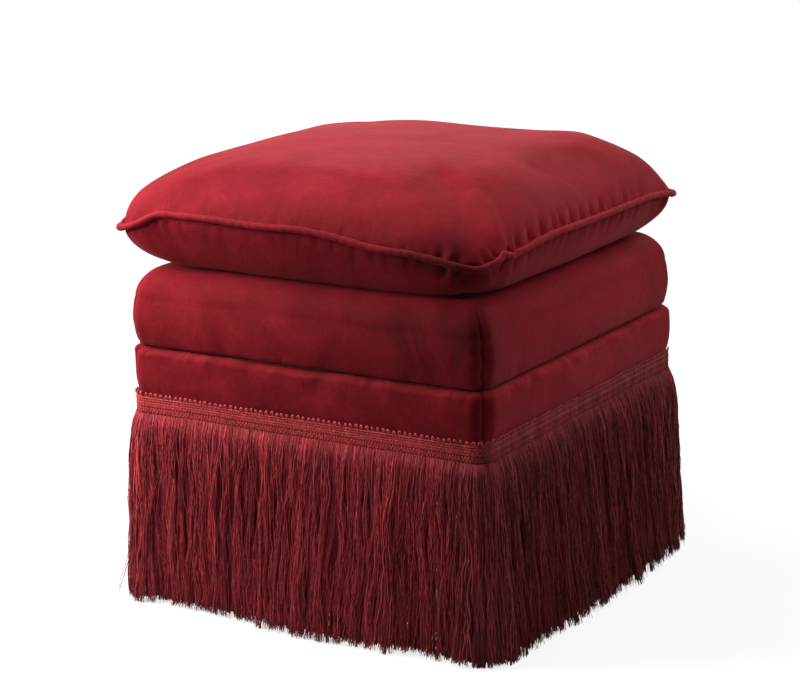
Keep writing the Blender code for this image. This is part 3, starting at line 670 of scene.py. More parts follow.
def build_seat():
    points, normals, way = ring_points(seat_profile(), SEAT_COLUMNS)
    level = points[..., 2]
    reach = np.abs(points[..., :2]).max(axis=-1)
    shown = (reach > rail_half + 3 * SKIN) | (level > under_seat + UNDER_EDGE)
    above_seam = np.maximum(level - seam_top, 0)
    on_side = ramped(seat_top - level, TOP_FADE)
    from_seam = from_corner(way, SEAT_SIDE) + SEAM_WAVER * waves(points[..., 2:], SEAM_WAVER_LENGTH, 15)
    creases = dents(way, above_seam, puckers(*SEAT_PUCKERS), SEAT_PUCKER_FALL, SEAT_SIDE)
    broad = swells(points, SEAT_SWELLS) * ramped(above_seam, SEAM_FADE)
    move = (broad - corner_groove(from_seam) * on_side - creases * on_side) * shown
    points = points + normals * move[..., None]
    sag = SEAT_SAG * np.clip(1 - (reach / (SEAT_HALF - SHOULDER)) ** 2, 0, 1)
    points[..., 2] -= sag * (level > seat_top - TOP_EDGE)
    uneven = swells(points[..., :2], TOP_SWELLS) * (level > seat_top - SHOULDER)
    points[..., 2] += uneven * np.clip((seat_top - level) / SEAM_FADE + 0.3, 0, 1)
    rows, columns = level.shape
    piece = new_piece("seat_box", FINISH["velvet"], points.reshape(-1, 3), grid_faces(rows, columns))
    outward(piece, *end_rings(rows, columns))
    assign(piece, "stool", "velvet", "seat_cover", "seat_wadding", "seat_foam")


def band_profile():
    """Section of the lower band, all round: up behind, over its full lip and down its face."""
    inner = rail_half + SKIN
    top = seam_bottom - LIP_GAP
    rows = [(inner, RAIL_CORNER, rail_low.z + SKIN), (inner, RAIL_CORNER, top)]
    for angle in quarter_turn(8):
        inset = (LIP + TUCK) * (1 - math.sin(angle))
        level = top - LIP_TURN * (1 - math.cos(angle))
        rows.append((SEAT_HALF + LIP - inset, SEAT_CORNER + LIP - inset, level))
    face_low = braid_high.z + FACE_FOOT
    face_high = rows[-1][2]
    for step in range(1, FACE_STEPS):
        share = step / FACE_STEPS
        full = LIP * math.cos(math.pi / 2 * share ** 2.2)
        rows.append((SEAT_HALF + full, SEAT_CORNER + full, face_high + (face_low - face_high) * share))
    rows.append((SEAT_HALF, SEAT_CORNER, face_low))
    rows.append((SEAT_HALF, SEAT_CORNER, rail_low.z + BAND_HEM))
    rows.append((SEAT_HALF - BAND_HEM, SEAT_CORNER - BAND_HEM, rail_low.z))
    return rows


def build_band():
    profile = band_profile()
    points, normals, way = ring_points(profile, BAND_COLUMNS)
    level = points[..., 2]
    reach = np.array([row[0] for row in profile])[:, None]
    face = ramped(reach - rail_half - BAND_BACK, BAND_BACK_FADE)
    face = face * ramped(level - braid_high.z, BAND_FOOT_FADE)
    below = np.maximum(seam_bottom - level, 0)
    creases = sum(dents(way, below, puckers(*drawn), fall, SEAT_SIDE) for drawn, fall in BAND_PUCKERS)
    swell = swells(points, LIP_SWELLS) * np.exp(-below / BAND_TOP_FADE) + swells(points, BAND_SWELLS)
    groove = corner_groove(from_corner(way, SEAT_SIDE))
    points = points + normals * ((swell - groove - creases) * face)[..., None]
    lift = LIP_UNEVEN * wander(90, 9, way, blur=0.012)
    points[..., 2] += lift * np.clip(1 - below / BAND_TOP_FADE, 0, 1) * face
    rows, columns = level.shape
    faces = np.concatenate([grid_faces(rows, columns), closing_faces(rows, columns)])
    piece = new_piece("lower_band_cover", FINISH["velvet"], points.reshape(-1, 3), faces)
    outward(piece)
    assign(piece, "stool", "velvet", "lower_band", "band_wadding")


# Trim: places on it are distances along one side's trim from its middle

STRAIGHT = SEAT_HALF - SEAT_CORNER
TRIM_REACH = STRAIGHT + SEAT_CORNER * math.pi / 4


def beside_band(distance, outset, level):
    """Points this far along the front from its middle, following the corners, and this far off the band."""
    distance, outset, level = np.broadcast_arrays(distance, outset, level)
    turn = np.maximum(np.abs(distance) - STRAIGHT, 0) / SEAT_CORNER
    x = np.sign(distance) * (np.minimum(np.abs(distance), STRAIGHT) + (SEAT_CORNER + outset) * np.sin(turn))
    y = -STRAIGHT - (SEAT_CORNER + outset) * np.cos(turn)
    return np.stack([x, y, level], axis=-1)


# Rows of the heading: each takes the relief so far and gives it with the row worked in

PLY_SHARE = 0.22
TAPE_THICK = 0.0015
TAPE_EDGE = 0.0005
TAPE_RIB_HEIGHT = 0.0011
STITCH_ROW_PITCH = 0.0037


def cord_row(relief, along, height, middle, radius, twist, pitch, lift):
    """A twisted cord laid along the heading."""
    thick = np.sqrt(np.clip(1 - ((height - middle) / radius) ** 2, 0, 1)) * radius
    ply = 0.5 + 0.5 * np.sin(math.tau * (along / pitch + twist * (height - middle) / pitch))
    return np.maximum(relief, thick * (1 - PLY_SHARE + PLY_SHARE * ply) + lift)


def tape_row(relief, along, height, low, high, pitch):
    """A flat ribbed band."""
    inside = ramped(height - low, TAPE_EDGE) * ramped(high - height, TAPE_EDGE)
    rib = np.abs(np.sin(math.pi * along / pitch))
    return np.maximum(relief, inside * (TAPE_THICK + TAPE_RIB_HEIGHT * rib))


def zigzag_row(relief, along, height, low, rise, pitch, width, depth):
    """A line that runs up and down by turns, pressed in."""
    return relief - depth * bell(height - (np.abs(((along / pitch) % 1) * 2 - 1) * rise + low), width)


def stitch_row(relief, along, height, middle, radius, phase, depth):
    """A row of small hollows."""
    place = ((along / STITCH_ROW_PITCH + phase) % 1 - 0.5) * STITCH_ROW_PITCH
    return relief - depth * np.exp(-(place ** 2 + (height - middle) ** 2) / radius ** 2)


def edge_row(relief, along, height, top, width, least):
    """The thin upper edge."""
    return relief * np.clip((top - height) / width, least, 1)


# The rows in the order they are worked, each with the sizes that its function takes after the height
HEADING_ROWS = (
    (cord_row, 0.0014, 0.0014, 1.2, 0.0022, 0.0010),
    (tape_row, 0.0034, 0.0076, 0.0025),
    (zigzag_row, 0.0040, 0.0030, 0.0052, 0.00055, 0.0011),
    (cord_row, 0.0088, 0.0011, -1.2, 0.0020, 0.0014),
    (tape_row, 0.0102, 0.0142, 0.0022),
    (cord_row, 0.0153, 0.0010, 1.2, 0.0020, 0.0014),
    (tape_row, 0.0164, 0.0196, 0.0022),
    (stitch_row, 0.0196, 0.00085, 0.0, 0.0022),
    (cord_row, 0.0209, 0.0012, -1.2, 0.0024, 0.0012),
    (edge_row, 0.0224, 0.0006, 0.35),
    (stitch_row, 0.0094, 0.00080, 0.5, 0.0018),
    (stitch_row, 0.0026, 0.00075, 0.0, 0.0012),
)
HEADING_GROUND = 0.0012
HEADING_LEAST = 0.0004
BRAID_BACK = 0.0005
BRAID_HEIGHT = 0.0235
BRAID_COLUMNS = 1100
BRAID_LINES = 38
BRAID_WAVER = 0.0006
BRAID_SCALLOP = 0.0011
BRAID_SCALLOP_PITCH = 0.0037
BRAID_SCALLOP_FADE = 0.0016
# Painted shade in the heading's hollows: the share of its colour where it has no relief, and the relief at
# which it has all of it
BRAID_HOLLOW_SHADE = 0.44
BRAID_FULL_RELIEF = 0.0027
BRAID_FUZZ = 0.10
BRAID_WEAVE = 0.20
BRAID_STITCH = 0.0044
BRAID_ROW = 0.0029
PICOT_PITCH = 0.0068
PICOT_SINK = 0.0016
PICOT_STEPS = 9
PICOT_AROUND = 6
# Ranges of each small loop's shift along, half width, height, lean, outset and thickness
PICOT_RANGES = ((-0.0004, 0.0004), (0.0012, 0.0018), (0.0036, 0.0047), (0.0004, 0.0022), (0.0024, 0.0034),
                (0.00080, 0.00100))
PICOT_OPENING = 0.22
PICOT_FOOT_IN = 0.0012
PICOT_TWIST = 0.0004


def picot_loops(foot):
    """Points and faces of the small slanted loops that stand along the top of one side's heading."""
    count = round(2 * TRIM_REACH / PICOT_PITCH)
    pitch = 2 * TRIM_REACH / count
    draw = np.random.default_rng(31)
    angle = np.linspace(-PICOT_OPENING * math.pi, (1 + PICOT_OPENING) * math.pi, PICOT_STEPS)
    rise = 0.5 + 0.5 * np.sin(angle)
    ring = circle(PICOT_AROUND)
    loops = []
    for number in range(count):
        shift, wide, tall, lean, out, thick = (draw.uniform(*span) for span in PICOT_RANGES)
        middle = -TRIM_REACH + (number + 0.5) * pitch + shift
        along = middle + wide * np.cos(angle) + lean * rise
        up = foot + tall * rise
        out = out - PICOT_FOOT_IN * (1 - rise) + PICOT_TWIST * np.cos(angle)
        along_step, up_step = np.gradient(along), np.gradient(up)
        size = np.hypot(along_step, up_step)
        side_along = (up_step / size)[:, None] * np.cos(ring) * thick
        side_up = (-along_step / size)[:, None] * np.cos(ring) * thick
        side_out = np.sin(ring)[None, :] * thick
        place = beside_band(along[:, None] + side_along, out[:, None] + side_out, up[:, None] + side_up)
        loops.append((place.reshape(-1, 3), grid_faces(PICOT_STEPS, PICOT_AROUND)))
    return joined(loops)


def build_braid(side, quarter):
    along = np.linspace(-TRIM_REACH, TRIM_REACH, BRAID_COLUMNS)
    height = np.linspace(0, BRAID_HEIGHT, BRAID_LINES)[:, None]
    waver = BRAID_WAVER * wander(40, 3, quarter + (along / TRIM_REACH + 1) / 2, blur=0.03)
    relief = np.full((BRAID_LINES, BRAID_COLUMNS), HEADING_GROUND)
    for work, *sizes in HEADING_ROWS:
        relief = work(relief, along + TRIM_REACH, height, *sizes)
    relief = np.maximum(relief, HEADING_LEAST)
    scallop = BRAID_SCALLOP * np.abs(np.sin(math.pi * along / BRAID_SCALLOP_PITCH))
    scallop = scallop * np.clip(1 - height / BRAID_SCALLOP_FADE, 0, 1)
    front = beside_band(along, BRAID_BACK + relief, braid_low.z + height + waver - scallop)
    behind = beside_band(along, BRAID_BACK, np.array([[braid_low.z + BRAID_HEIGHT], [braid_low.z]]) + waver)
    loops = np.concatenate([front, behind]).transpose(1, 0, 2)
    # Painted shade: the heading darkens where its relief is low, in the hollows between its rows; the weave
    # and the fuzz are the yarn's own tone
    tones = BRAID_HOLLOW_SHADE + (1 - BRAID_HOLLOW_SHADE) * ramped(relief, BRAID_FULL_RELIEF) ** 1.3
    fuzz = np.random.default_rng(60 + quarter).normal(0, BRAID_FUZZ, tones.shape)
    weave = BRAID_WEAVE * np.sin(math.tau * along / BRAID_STITCH + math.pi * np.round(height / BRAID_ROW))
    tones = tones * (1.05 + weave + fuzz + np.roll(fuzz, 1, axis=1) + np.roll(fuzz, 1, axis=0))
    tones = np.concatenate([tones, np.ones((len(behind), BRAID_COLUMNS))]).T.ravel()
    heading = (loops.reshape(-1, 3), grid_faces(*loops.shape[:2]))
    points, faces = joined([heading, picot_loops(braid_low.z + BRAID_HEIGHT - PICOT_SINK)])
    tones = np.concatenate([tones, np.ones(len(points) - len(tones))])
    piece = new_piece("braid_heading_" + side, FINISH["braid"], turned(points, quarter), faces, tones=tones)
    outward(piece, *end_rings(*loops.shape[:2]))
    assign(piece, "stool", "braid", "braid_" + side)


# Fringe: locks of strands outside and a plainer fill behind them, and loose fibres across them

LOCKS_STRANDS = 1560
LOCKS_STEPS = 18
LOCKS_THICK = (0.00036, 0.00056)
FILL_STRANDS = 950
FILL_STEPS = 6
FILL_THICK = (0.00075, 0.00105)
AROUND_STRAND = 3
CORNER_STRANDS = 2.3
CORNER_NARROWING = (STRAIGHT - 0.008, STRAIGHT + 0.004)
STRAND_TAPER = 0.35
STRAND_TUCK = 0.0022
BELLY = 0.0072
BELLY_DROP = 0.013
# Ends of the strands: how high over the floor, how much that differs, how many are shorter and by how much
LOCKS_LIFT = 0.0003
FILL_LIFT = 0.0030
TIP_SPREAD = 0.0055
SHORT_SHARE = 0.05
SHORT_RANGE = (0.004, 0.022)
END_FADE = 0.012
# Locks: how wide they are, where the first one starts, how far their ends rise and how much they gather
LOCK_WIDTHS = (0.0045, 0.0120)
LOCK_START = 0.013
LOCK_EDGES = 160
LOCK_DRAWS = 200
LOCK_LIFT_ROOT = 0.060
LOCK_PULL = (0.15, 0.80)
GATHER_MIDDLE = 0.62
GATHER_REACH = 0.42
LOCK_DRIFT = 0.0024
LOCK_OUTSETS = (0.0017, 0.0026)
# Waves: how many down a strand, and how far they reach
LOCK_WAVES = ((0.8, 0.0022), (1.7, 0.0016), (3.1, 0.0008))
LOCK_STRETCHES = (0.8, 1.25)
STRAND_WAVES = ((1.6, 0.00100), (3.2, 0.00075), (5.4, 0.00045))
STRAND_STRETCHES = (0.75, 1.3)
OUTWARD_WAVES = ((1.3, 0.0009), (2.9, 0.0006))
FILL_LOOSENESS = 0.12
STRAND_DRIFT = 0.0011
ASTRAY_SHARE = 0.12
ASTRAY_DRIFT = 0.0075
ASTRAY_OUT = 0.35
DRIFT_POWER = 1.6
LOCKS_PROUD = 0.0030
LOCKS_DEPTH = (-0.0034, 0.0008)
FILL_IN = 0.84
FILL_PROUD = 0.0006
FILL_DEPTH = 0.0010
KINK_ALONG = 0.00080
KINK_OUT = 0.00060
# Tones of the strands: the locks' vary at random about 1; the fill's are low, painted shade behind the locks
LOCKS_TONE_SPREAD = 0.26
FILL_SHADE_TONES = (0.40, 0.66)
# Loose fibres: how many, how far off the strands, and the ranges of where they end and how long they are
STRAYS = 300
STRAY_STEPS = 15
STRAY_THICK = (0.00020, 0.00034)
STRAY_PROUD = 0.0042
STRAY_MARGIN = 0.012
STRAY_HEM = (0.0008, 0.008)
STRAY_TOP_ROOM = 0.06
STRAY_LENGTH = (0.035, 0.110)
STRAY_LEAN = 0.09
STRAY_MOST_LEAN = 0.17
STRAY_BEND = 0.0035
STRAY_KINK = 0.0007
STRAY_WAVE = 0.0014
STRAY_WAVES = (0.5, 1.5)
STRAY_FLARE = (0, 0.006)
STRAY_TONES = (0.9, 1.6)

# How far out of its belly the hem hangs, by the place along each side from its left end
HEM_LINES = {
    "front": ((-0.224, 0.0115), (-0.205, 0.0135), (-0.180, 0.0095), (-0.105, 0.0085), (-0.075, 0.0155),
              (-0.052, 0.0150), (-0.018, 0.0220), (0.010, 0.0255), (0.060, 0.0235), (0.080, 0.0205),
              (0.105, 0.0210), (0.130, 0.0160), (0.148, 0.0080), (0.180, 0.0105), (0.224, 0.0170)),
    "right": ((-0.224, 0.0170), (-0.150, 0.0150), (-0.107, 0.0185), (-0.066, 0.0200), (-0.018, 0.0215),
              (0.036, 0.0195), (0.064, 0.0210), (0.100, 0.0175), (0.140, 0.0160), (0.180, 0.0110),
              (0.224, 0.0080)),
    "back": ((-0.224, 0.0080), (-0.120, 0.0130), (-0.040, 0.0080), (0.050, 0.0140), (0.140, 0.0090),
             (0.224, 0.0095)),
    "left": ((-0.224, 0.0095), (-0.130, 0.0080), (-0.030, 0.0135), (0.060, 0.0080), (0.150, 0.0120),
             (0.224, 0.0115)),
}


def grown(share, rate, least=0):
    """A share that grows with the way down a strand."""
    return np.clip(share * rate, least, 1)


def strand_roots(draw, count, uneven):
    """Places along one side's trim, closer together at the corners, where the hem fans out."""
    reach = STRAIGHT + (TRIM_REACH - STRAIGHT) * CORNER_STRANDS
    step = np.arange(count) + 0.5 + uneven * draw.uniform(-0.5, 0.5, count)
    place = np.sort(np.clip(step / count * 2 - 1, -1, 1) * reach)
    past = np.maximum(np.abs(place) - STRAIGHT, 0) / CORNER_STRANDS
    return np.sign(place) * (np.minimum(np.abs(place), STRAIGHT) + past)


def hang(root, drop, hem):
    """How far off the band the outer strands hang, this far below their heading."""
    belly = BELLY * (1 - np.exp(-drop / BELLY_DROP))
    return belly + np.interp(root, *zip(*hem)) * (drop / braid_low.z) ** 1.25


def strand_paths(draw, root, steps, tidy, hem):
    """Way along, outset and level of each strand's points; the tidy ones hang evenly, the others in locks."""
    def by_strand(values):
        return values[:, None]

    def by_lock(values):
        return values[lock][:, None]

    count = len(root)
    share = np.linspace(0, 1, steps)[None, :]
    loose = FILL_LOOSENESS if tidy else 1.0
    locked = 0.0 if tidy else 1.0
    top = braid_low.z + STRAND_TUCK
    spread = draw.uniform(0, 1, count)
    tip = FILL_LIFT + TIP_SPREAD * spread if tidy else LOCKS_LIFT + TIP_SPREAD * spread ** 2
    short = draw.uniform(0, 1, count) < SHORT_SHARE
    tip += np.where(short, draw.uniform(*SHORT_RANGE, count), 0) * locked
    fade = by_strand(ramped(TRIM_REACH - np.abs(root), END_FADE))

    edges = np.cumsum(draw.uniform(*LOCK_WIDTHS, LOCK_EDGES)) - TRIM_REACH - LOCK_START
    lock = np.searchsorted(edges, root)
    middle = (edges[lock - 1] + edges[lock]) / 2
    tip += locked * draw.uniform(0, LOCK_LIFT_ROOT, LOCK_DRAWS)[lock] ** 2
    level = top + (by_strand(tip) - top) * share
    pull = by_lock(draw.uniform(*LOCK_PULL, LOCK_DRAWS)) * locked
    gather = bell(share - GATHER_MIDDLE, GATHER_REACH)
    along = by_strand(root) + by_strand(middle - root) * pull * gather * grown(share, 4)
    for rate, reach in LOCK_WAVES:
        phase = by_lock(draw.uniform(0, math.tau, LOCK_DRAWS))
        stretch = by_lock(draw.uniform(*LOCK_STRETCHES, LOCK_DRAWS))
        wave = np.sin(math.tau * rate * stretch * share + phase)
        along += locked * reach * wave * grown(share, 4) * fade
    along += locked * by_lock(draw.normal(0, LOCK_DRIFT, LOCK_DRAWS)) * share ** DRIFT_POWER * fade
    own = by_strand(draw.normal(0, STRAND_DRIFT * loose, count))
    astray = draw.uniform(0, 1, count) < ASTRAY_SHARE
    stray = by_strand(np.where(astray, draw.normal(0, ASTRAY_DRIFT, count), 0)) * locked
    along += (own + stray) * share ** DRIFT_POWER * fade
    for rate, reach in STRAND_WAVES:
        phase = by_strand(draw.uniform(0, math.tau, count))
        stretch = by_strand(draw.uniform(*STRAND_STRETCHES, count))
        along += loose * reach * np.sin(math.tau * rate * stretch * share + phase) * grown(share, 6)

    outset = hang(by_strand(root), top - level, hem)
    if tidy:
        outset = outset * FILL_IN + FILL_PROUD - FILL_DEPTH * by_strand(draw.uniform(0, 1, count))
    else:
        depth = by_strand(draw.uniform(*LOCKS_DEPTH, count))
        outset = outset + LOCKS_PROUD + depth * grown(share, 6, least=0.25)
        outset += by_lock(draw.normal(0, LOCK_OUTSETS[0], LOCK_DRAWS)) * grown(share, 3)
        outset += by_lock(draw.normal(0, LOCK_OUTSETS[1], LOCK_DRAWS)) * share ** 3
        outset += np.abs(stray) * ASTRAY_OUT * share
    for rate, reach in OUTWARD_WAVES:
        phase = by_strand(draw.uniform(0, math.tau, count))
        outset += loose * reach * np.sin(math.tau * rate * share + phase) * grown(share, 5)
    kink = grown(share, 6) * loose
    along += draw.normal(0, KINK_ALONG, along.shape) * kink
    outset = outset + draw.normal(0, KINK_OUT, along.shape) * kink
    narrow = by_strand(np.interp(np.abs(root), CORNER_NARROWING, (1, 1 / CORNER_STRANDS)))
    return by_strand(root) + (along - by_strand(root)) * narrow, outset, level


def stray_paths(draw, hem):
    """Way along, outset and level of the loose fibres that lie across the strands."""
    def drawn(low, high):
        return draw.uniform(low, high, STRAYS)[:, None]

    top = braid_low.z
    share = np.linspace(0, 1, STRAY_STEPS)[None, :]
    place = drawn(-1, 1) * (TRIM_REACH - STRAY_MARGIN)
    at_hem = drawn(0, 1) < 0.5
    low = np.where(at_hem, drawn(*STRAY_HEM), drawn(STRAY_HEM[1], top - STRAY_TOP_ROOM))
    high = np.minimum(low + drawn(*STRAY_LENGTH), top - STRAY_MARGIN)
    level = high + (low - high) * share
    lean = np.clip(draw.normal(0, STRAY_LEAN, STRAYS), -STRAY_MOST_LEAN, STRAY_MOST_LEAN)[:, None]
    bend = draw.normal(0, STRAY_BEND, STRAYS)[:, None]
    along = place + lean * (high - level) + bend * np.sin(math.pi * share)
    along += np.cumsum(draw.normal(0, STRAY_KINK, along.shape), axis=1)
    along = np.clip(along, -TRIM_REACH, TRIM_REACH)
    outset = hang(along, top - level, hem) + STRAY_PROUD
    outset += STRAY_WAVE * np.sin(math.tau * share * drawn(*STRAY_WAVES) + drawn(0, math.tau))
    outset += np.where(at_hem, drawn(*STRAY_FLARE), 0) * share ** 3
    return along, outset, level


def strand_tubes(draw, along, outset, level, thick):
    """Points, quads and end triangles of three-sided tubes round these paths."""
    count, steps = along.shape
    share = np.linspace(0, 1, steps)[None, :]
    radius = (draw.uniform(*thick, count)[:, None] * (1 - STRAND_TAPER * share ** 4))[..., None]
    ring = draw.uniform(0, math.tau, count)[:, None, None] + circle(AROUND_STRAND)[None, None, :]
    along, outset = along[..., None] + radius * np.cos(ring), outset[..., None] + radius * np.sin(ring)
    place = beside_band(along, outset, level[..., None])
    size = steps * AROUND_STRAND
    starts = np.arange(count)[:, None] * size
    quads = (grid_faces(steps, AROUND_STRAND)[None] + starts[..., None]).reshape(-1, 4)
    ring = np.arange(AROUND_STRAND)
    ends = np.concatenate([starts + ring[::-1], starts + size - AROUND_STRAND + ring])
    return place.reshape(-1, 3), quads, ends


def build_fringe(side, quarter):
    """Crinkled strands in wavy locks over a plainer fill, from under the heading to just over the floor."""
    def show(name, points, quads, ends, tones, *replaced):
        piece = new_piece(name, FINISH["fringe"], turned(points, quarter), quads, ends, tones=tones)
        assign(piece, "stool", "fringe", *replaced)

    draw = np.random.default_rng(100 + quarter)
    points, quads, ends, tones = [], [], [], []
    offset = 0
    for count, steps, thick, tidy in ((LOCKS_STRANDS, LOCKS_STEPS, LOCKS_THICK, False),
                                      (FILL_STRANDS, FILL_STEPS, FILL_THICK, True)):
        root = strand_roots(draw, count, 1.0 if tidy else 3.0)
        paths = strand_paths(draw, root, steps, tidy, HEM_LINES[side])
        place, four, three = strand_tubes(draw, *paths, thick)
        # The fill's low tones are painted shade between and behind the locks
        tone = draw.uniform(*FILL_SHADE_TONES, count) if tidy else np.exp(draw.normal(0, LOCKS_TONE_SPREAD, count))
        points.append(place)
        quads.append(four + offset)
        ends.append(three + offset)
        tones.append(np.repeat(tone, steps * AROUND_STRAND))
        offset += len(place)
    strands = [np.concatenate(parts) for parts in (points, quads, ends, tones)]
    show("fringe_strands_" + side, *strands, "fringe_" + side)
    strays = strand_tubes(draw, *stray_paths(draw, HEM_LINES[side]), STRAY_THICK)
    tones = np.repeat(draw.uniform(*STRAY_TONES, STRAYS), STRAY_STEPS * AROUND_STRAND)
    show("fringe_strays_" + side, *strays, tones)


# Cushion

# Level of the piping's middle by the place along each side from -1 to 1, and at the corners
SEAM_LEVELS = {
    "front": ((-0.87, 0.4390), (-0.75, 0.4530), (-0.47, 0.4530), (-0.15, 0.4505), (0.06, 0.4520),
              (0.27, 0.4480), (0.47, 0.4400), (0.67, 0.4380), (0.82, 0.4330)),
    "right": ((-0.86, 0.4345), (-0.80, 0.4355), (-0.73, 0.4340), (-0.64, 0.4364), (-0.55, 0.4385),
              (-0.36, 0.4410), (0.04, 0.4392), (0.66, 0.4390), (0.86, 0.4340)),
    "back": ((-0.86, 0.4340), (-0.60, 0.4410), (-0.20, 0.4390), (0.20, 0.4420), (0.60, 0.4400),
             (0.86, 0.4350)),
    "left": ((-0.86, 0.4360), (-0.60, 0.4430), (-0.20, 0.4410), (0.20, 0.4440), (0.60, 0.4450),
             (0.86, 0.4370)),
}
CORNER_LEVELS = (0.4306, 0.4240, 0.4270, 0.4300)
# Small kinks of the seam near the front right corner: way round, rise and half width
KINKS = ((1.070, 0.0030, 0.010), (1.108, -0.0034, 0.012))
# How far each side is drawn in, by the place along it
DRAW_IN = {
    "front": ((-1.0, 0.0), (-0.67, 0.003), (0.33, 0.0033), (0.67, 0.0057), (1.0, 0.0126)),
    "right": ((-1.0, 0.0126), (-0.67, 0.0057), (-0.33, 0.0033), (0.67, 0.003), (1.0, 0.0036)),
    "back": ((-1.0, 0.0036), (-0.67, 0.003), (0.67, 0.003), (1.0, 0.0015)),
    "left": ((-1.0, 0.0015), (-0.67, 0.003), (0.67, 0.003), (1.0, 0.0)),
}
# How much the top falls away towards each corner, and how much more pointed it is there
CORNER_TAPERS = (-0.47, 0.16, -1.36, -0.10)
CORNER_POINTS = (0.0, 0.0, 0.32, 0.0)
CORNER_SPREAD = 0.16
CUSHION_SIDE = 0.465
SEAM_INSET = 0.0018
SEAM_LAP = 0.0012
CROWN_LEVEL = 0.5065
CROWN_FALL = 3.58
CROWN_STEEPNESS = 0.486
CROWN_DEPTH = 0.07
UNDER_DEPTH = 0.06
UNDER_BEND = 0.25
# The crown stands a little higher towards the left
LEFT_RISE = 0.0040
RISE_MIDDLE = (-0.140, 0.020)
RISE_REACH = 0.100
CROWDING = 0.55
CUSHION_SWELLS = ((0.19, 0.0008, 17), (0.085, 0.0003, 18))
SWELL_FADE = 0.03
UNDER_SWELL_SHARE = 0.4
REST_FADE = 0.006
GATHER_EDGE = 0.001
GATHER_RISE = 0.005
UPPER_MARGIN = 0.002
SEAM_POINTS = 400
CLOTH_SETTINGS = {
    "quality": 4, "mass": 0.2, "tension_stiffness": 20, "compression_stiffness": 20, "shear_stiffness": 8,
    "bending_stiffness": 0.4, "vertex_group_mass": "held", "shrink_min": -0.003, "use_pressure": True,
    "uniform_pressure_force": CLOTH_PRESSURE,
}
PIPING_COLUMNS = 260
PIPING_AROUND = 12
# Unevenness of the cord: share of its radius and length
PIPING_WAVES = ((0.05, 0.031), (0.04, 0.0113))
NUB_REACH = 0.0035
NUB_LENGTH = 0.0065
NUB_SWELL = 0.0005
# Gathers over and under the piping: way round, depth, half width and slant
GATHERS = (
    (1.050, 0.0034, 0.0030, 0.30), (1.094, 0.0044, 0.0026, 0.35), (1.135, 0.0040, 0.0028, 0.30),
    (1.194, 0.0034, 0.0026, 0.30), (1.255, 0.0036, 0.0024, 0.25), (1.312, 0.0024, 0.0024, 0.25),
    (1.348, 0.0032, 0.0022, 0.20), (1.401, 0.0026, 0.0024, 0.20), (1.453, 0.0022, 0.0022, 0.15),
    (1.505, 0.0014, 0.0022, 0.15), (1.559, 0.0019, 0.0022, 0.12), (1.620, 0.0013, 0.0022, 0.10),
    (1.690, 0.0015, 0.0022, 0.05), (1.020, 0.0022, 0.0034, 0.20), (0.950, 0.0022, 0.0034, -0.20),
    (0.905, 0.0014, 0.0030, -0.20),
)
UNDER_GATHERS = (
    (0.925, 0.0034, 0.0026, -0.30), (0.955, 0.0036, 0.0026, -0.25), (0.990, 0.0020, 0.0030, 0.0),
    (1.035, 0.0026, 0.0026, 0.25), (1.070, 0.0030, 0.0024, 0.30), (1.110, 0.0016, 0.0024, 0.30),
    (0.045, 0.0022, 0.0022, 0.0), (0.080, 0.0016, 0.0020, 0.0), (0.110, 0.0018, 0.0020, 0.0),
    (0.150, 0.0012, 0.0020, 0.0), (0.020, 0.0020, 0.0024, 0.0),
)
# Smaller gathers all round: the first place at most, then the ranges of depth, half width, slant and spacing
GATHER_FIRST = 0.03
GATHER_DEPTHS = (0.0003, 0.0011)
GATHER_WIDTHS = (0.0018, 0.0040)
GATHER_SLANTS = (-0.3, 0.3)
GATHER_SPACING = (0.014, 0.060)
CORNER_GATHERS = 0.12
CORNER_GATHER_DEPTH = 1.8

rest_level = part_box("cushion_underside")[0].z


def seam_level(way):
    """Level of the piping's middle."""
    known = []
    for quarter, side in enumerate(SIDES):
        known.append((float(quarter), CORNER_LEVELS[quarter]))
        known += [(quarter + (place + 1) / 2, level) for place, level in SEAM_LEVELS[side]]
    level = periodic(*zip(*known), way, blur=0.014)
    for place, rise, width in KINKS:
        level = level + rise * bell(way - place, width)
    return level


def near_corners(way, amounts):
    """Amounts given for the four corners, each fading with the distance from its corner."""
    return sum(amount * bell(way_gap(way, quarter), CORNER_SPREAD) for quarter, amount in enumerate(amounts))


def cushion_plan(reach, radius, quarter, t, squareness=1.0, nub=0.0):
    """Plan points and normals of an outline of this reach, drawn in as the seam is by the squareness."""
    plan, normal = side_point(reach, radius, t)
    inward = np.interp(t, *zip(*DRAW_IN[SIDES[quarter]]))
    before = DRAW_IN[SIDES[quarter - 1]][-1][1]
    after = DRAW_IN[SIDES[(quarter + 1) % 4]][0][1]
    plan[..., 1] += inward * squareness
    plan[..., 0] += (before * (1 - t) / 2 - after * (1 + t) / 2) * squareness
    plan += normal * np.asarray(nub)[..., None]
    return plan, normal


def seam_line(columns, nub=0.0):
    """Points of the cushion's seam, out by the nub at its corners, with their normals and way round."""
    t = np.linspace(-1, 1, columns, endpoint=False)
    places, outwards, ways = [], [], []
    for quarter in range(4):
        way = quarter + (t + 1) / 2
        nubs = nub * bell(from_corner(way, CUSHION_SIDE), NUB_LENGTH)
        plan, normal = cushion_plan(CUSHION_HALF, CUSHION_CORNER, quarter, t, nub=nubs)
        places.append(turned(with_level(plan, seam_level(way)), quarter))
        outwards.append(turned(with_level(normal, 0), quarter))
        ways.append(way)
    return [np.concatenate(parts) for parts in (places, outwards, ways)]


def place_in_grid(rings):
    """Ring number, quarter and place along the side of each point of a square grid, middle out."""
    i, j = np.meshgrid(np.arange(-rings, rings + 1), np.arange(-rings, rings + 1), indexing="ij")
    ring = np.maximum(np.abs(i), np.abs(j))
    safe = np.maximum(ring, 1)
    quarter = np.zeros(ring.shape, int)
    t = i / safe
    right = (i == ring) & (j > -ring)
    back = (j == ring) & (i < ring)
    left = (i == -ring) & (j < ring) & (j != -ring)
    for number, here, along in ((1, right, j), (2, back, -i), (3, left, -j)):
        quarter[here], t[here] = number, (along / safe)[here]
    return ring, quarter, t


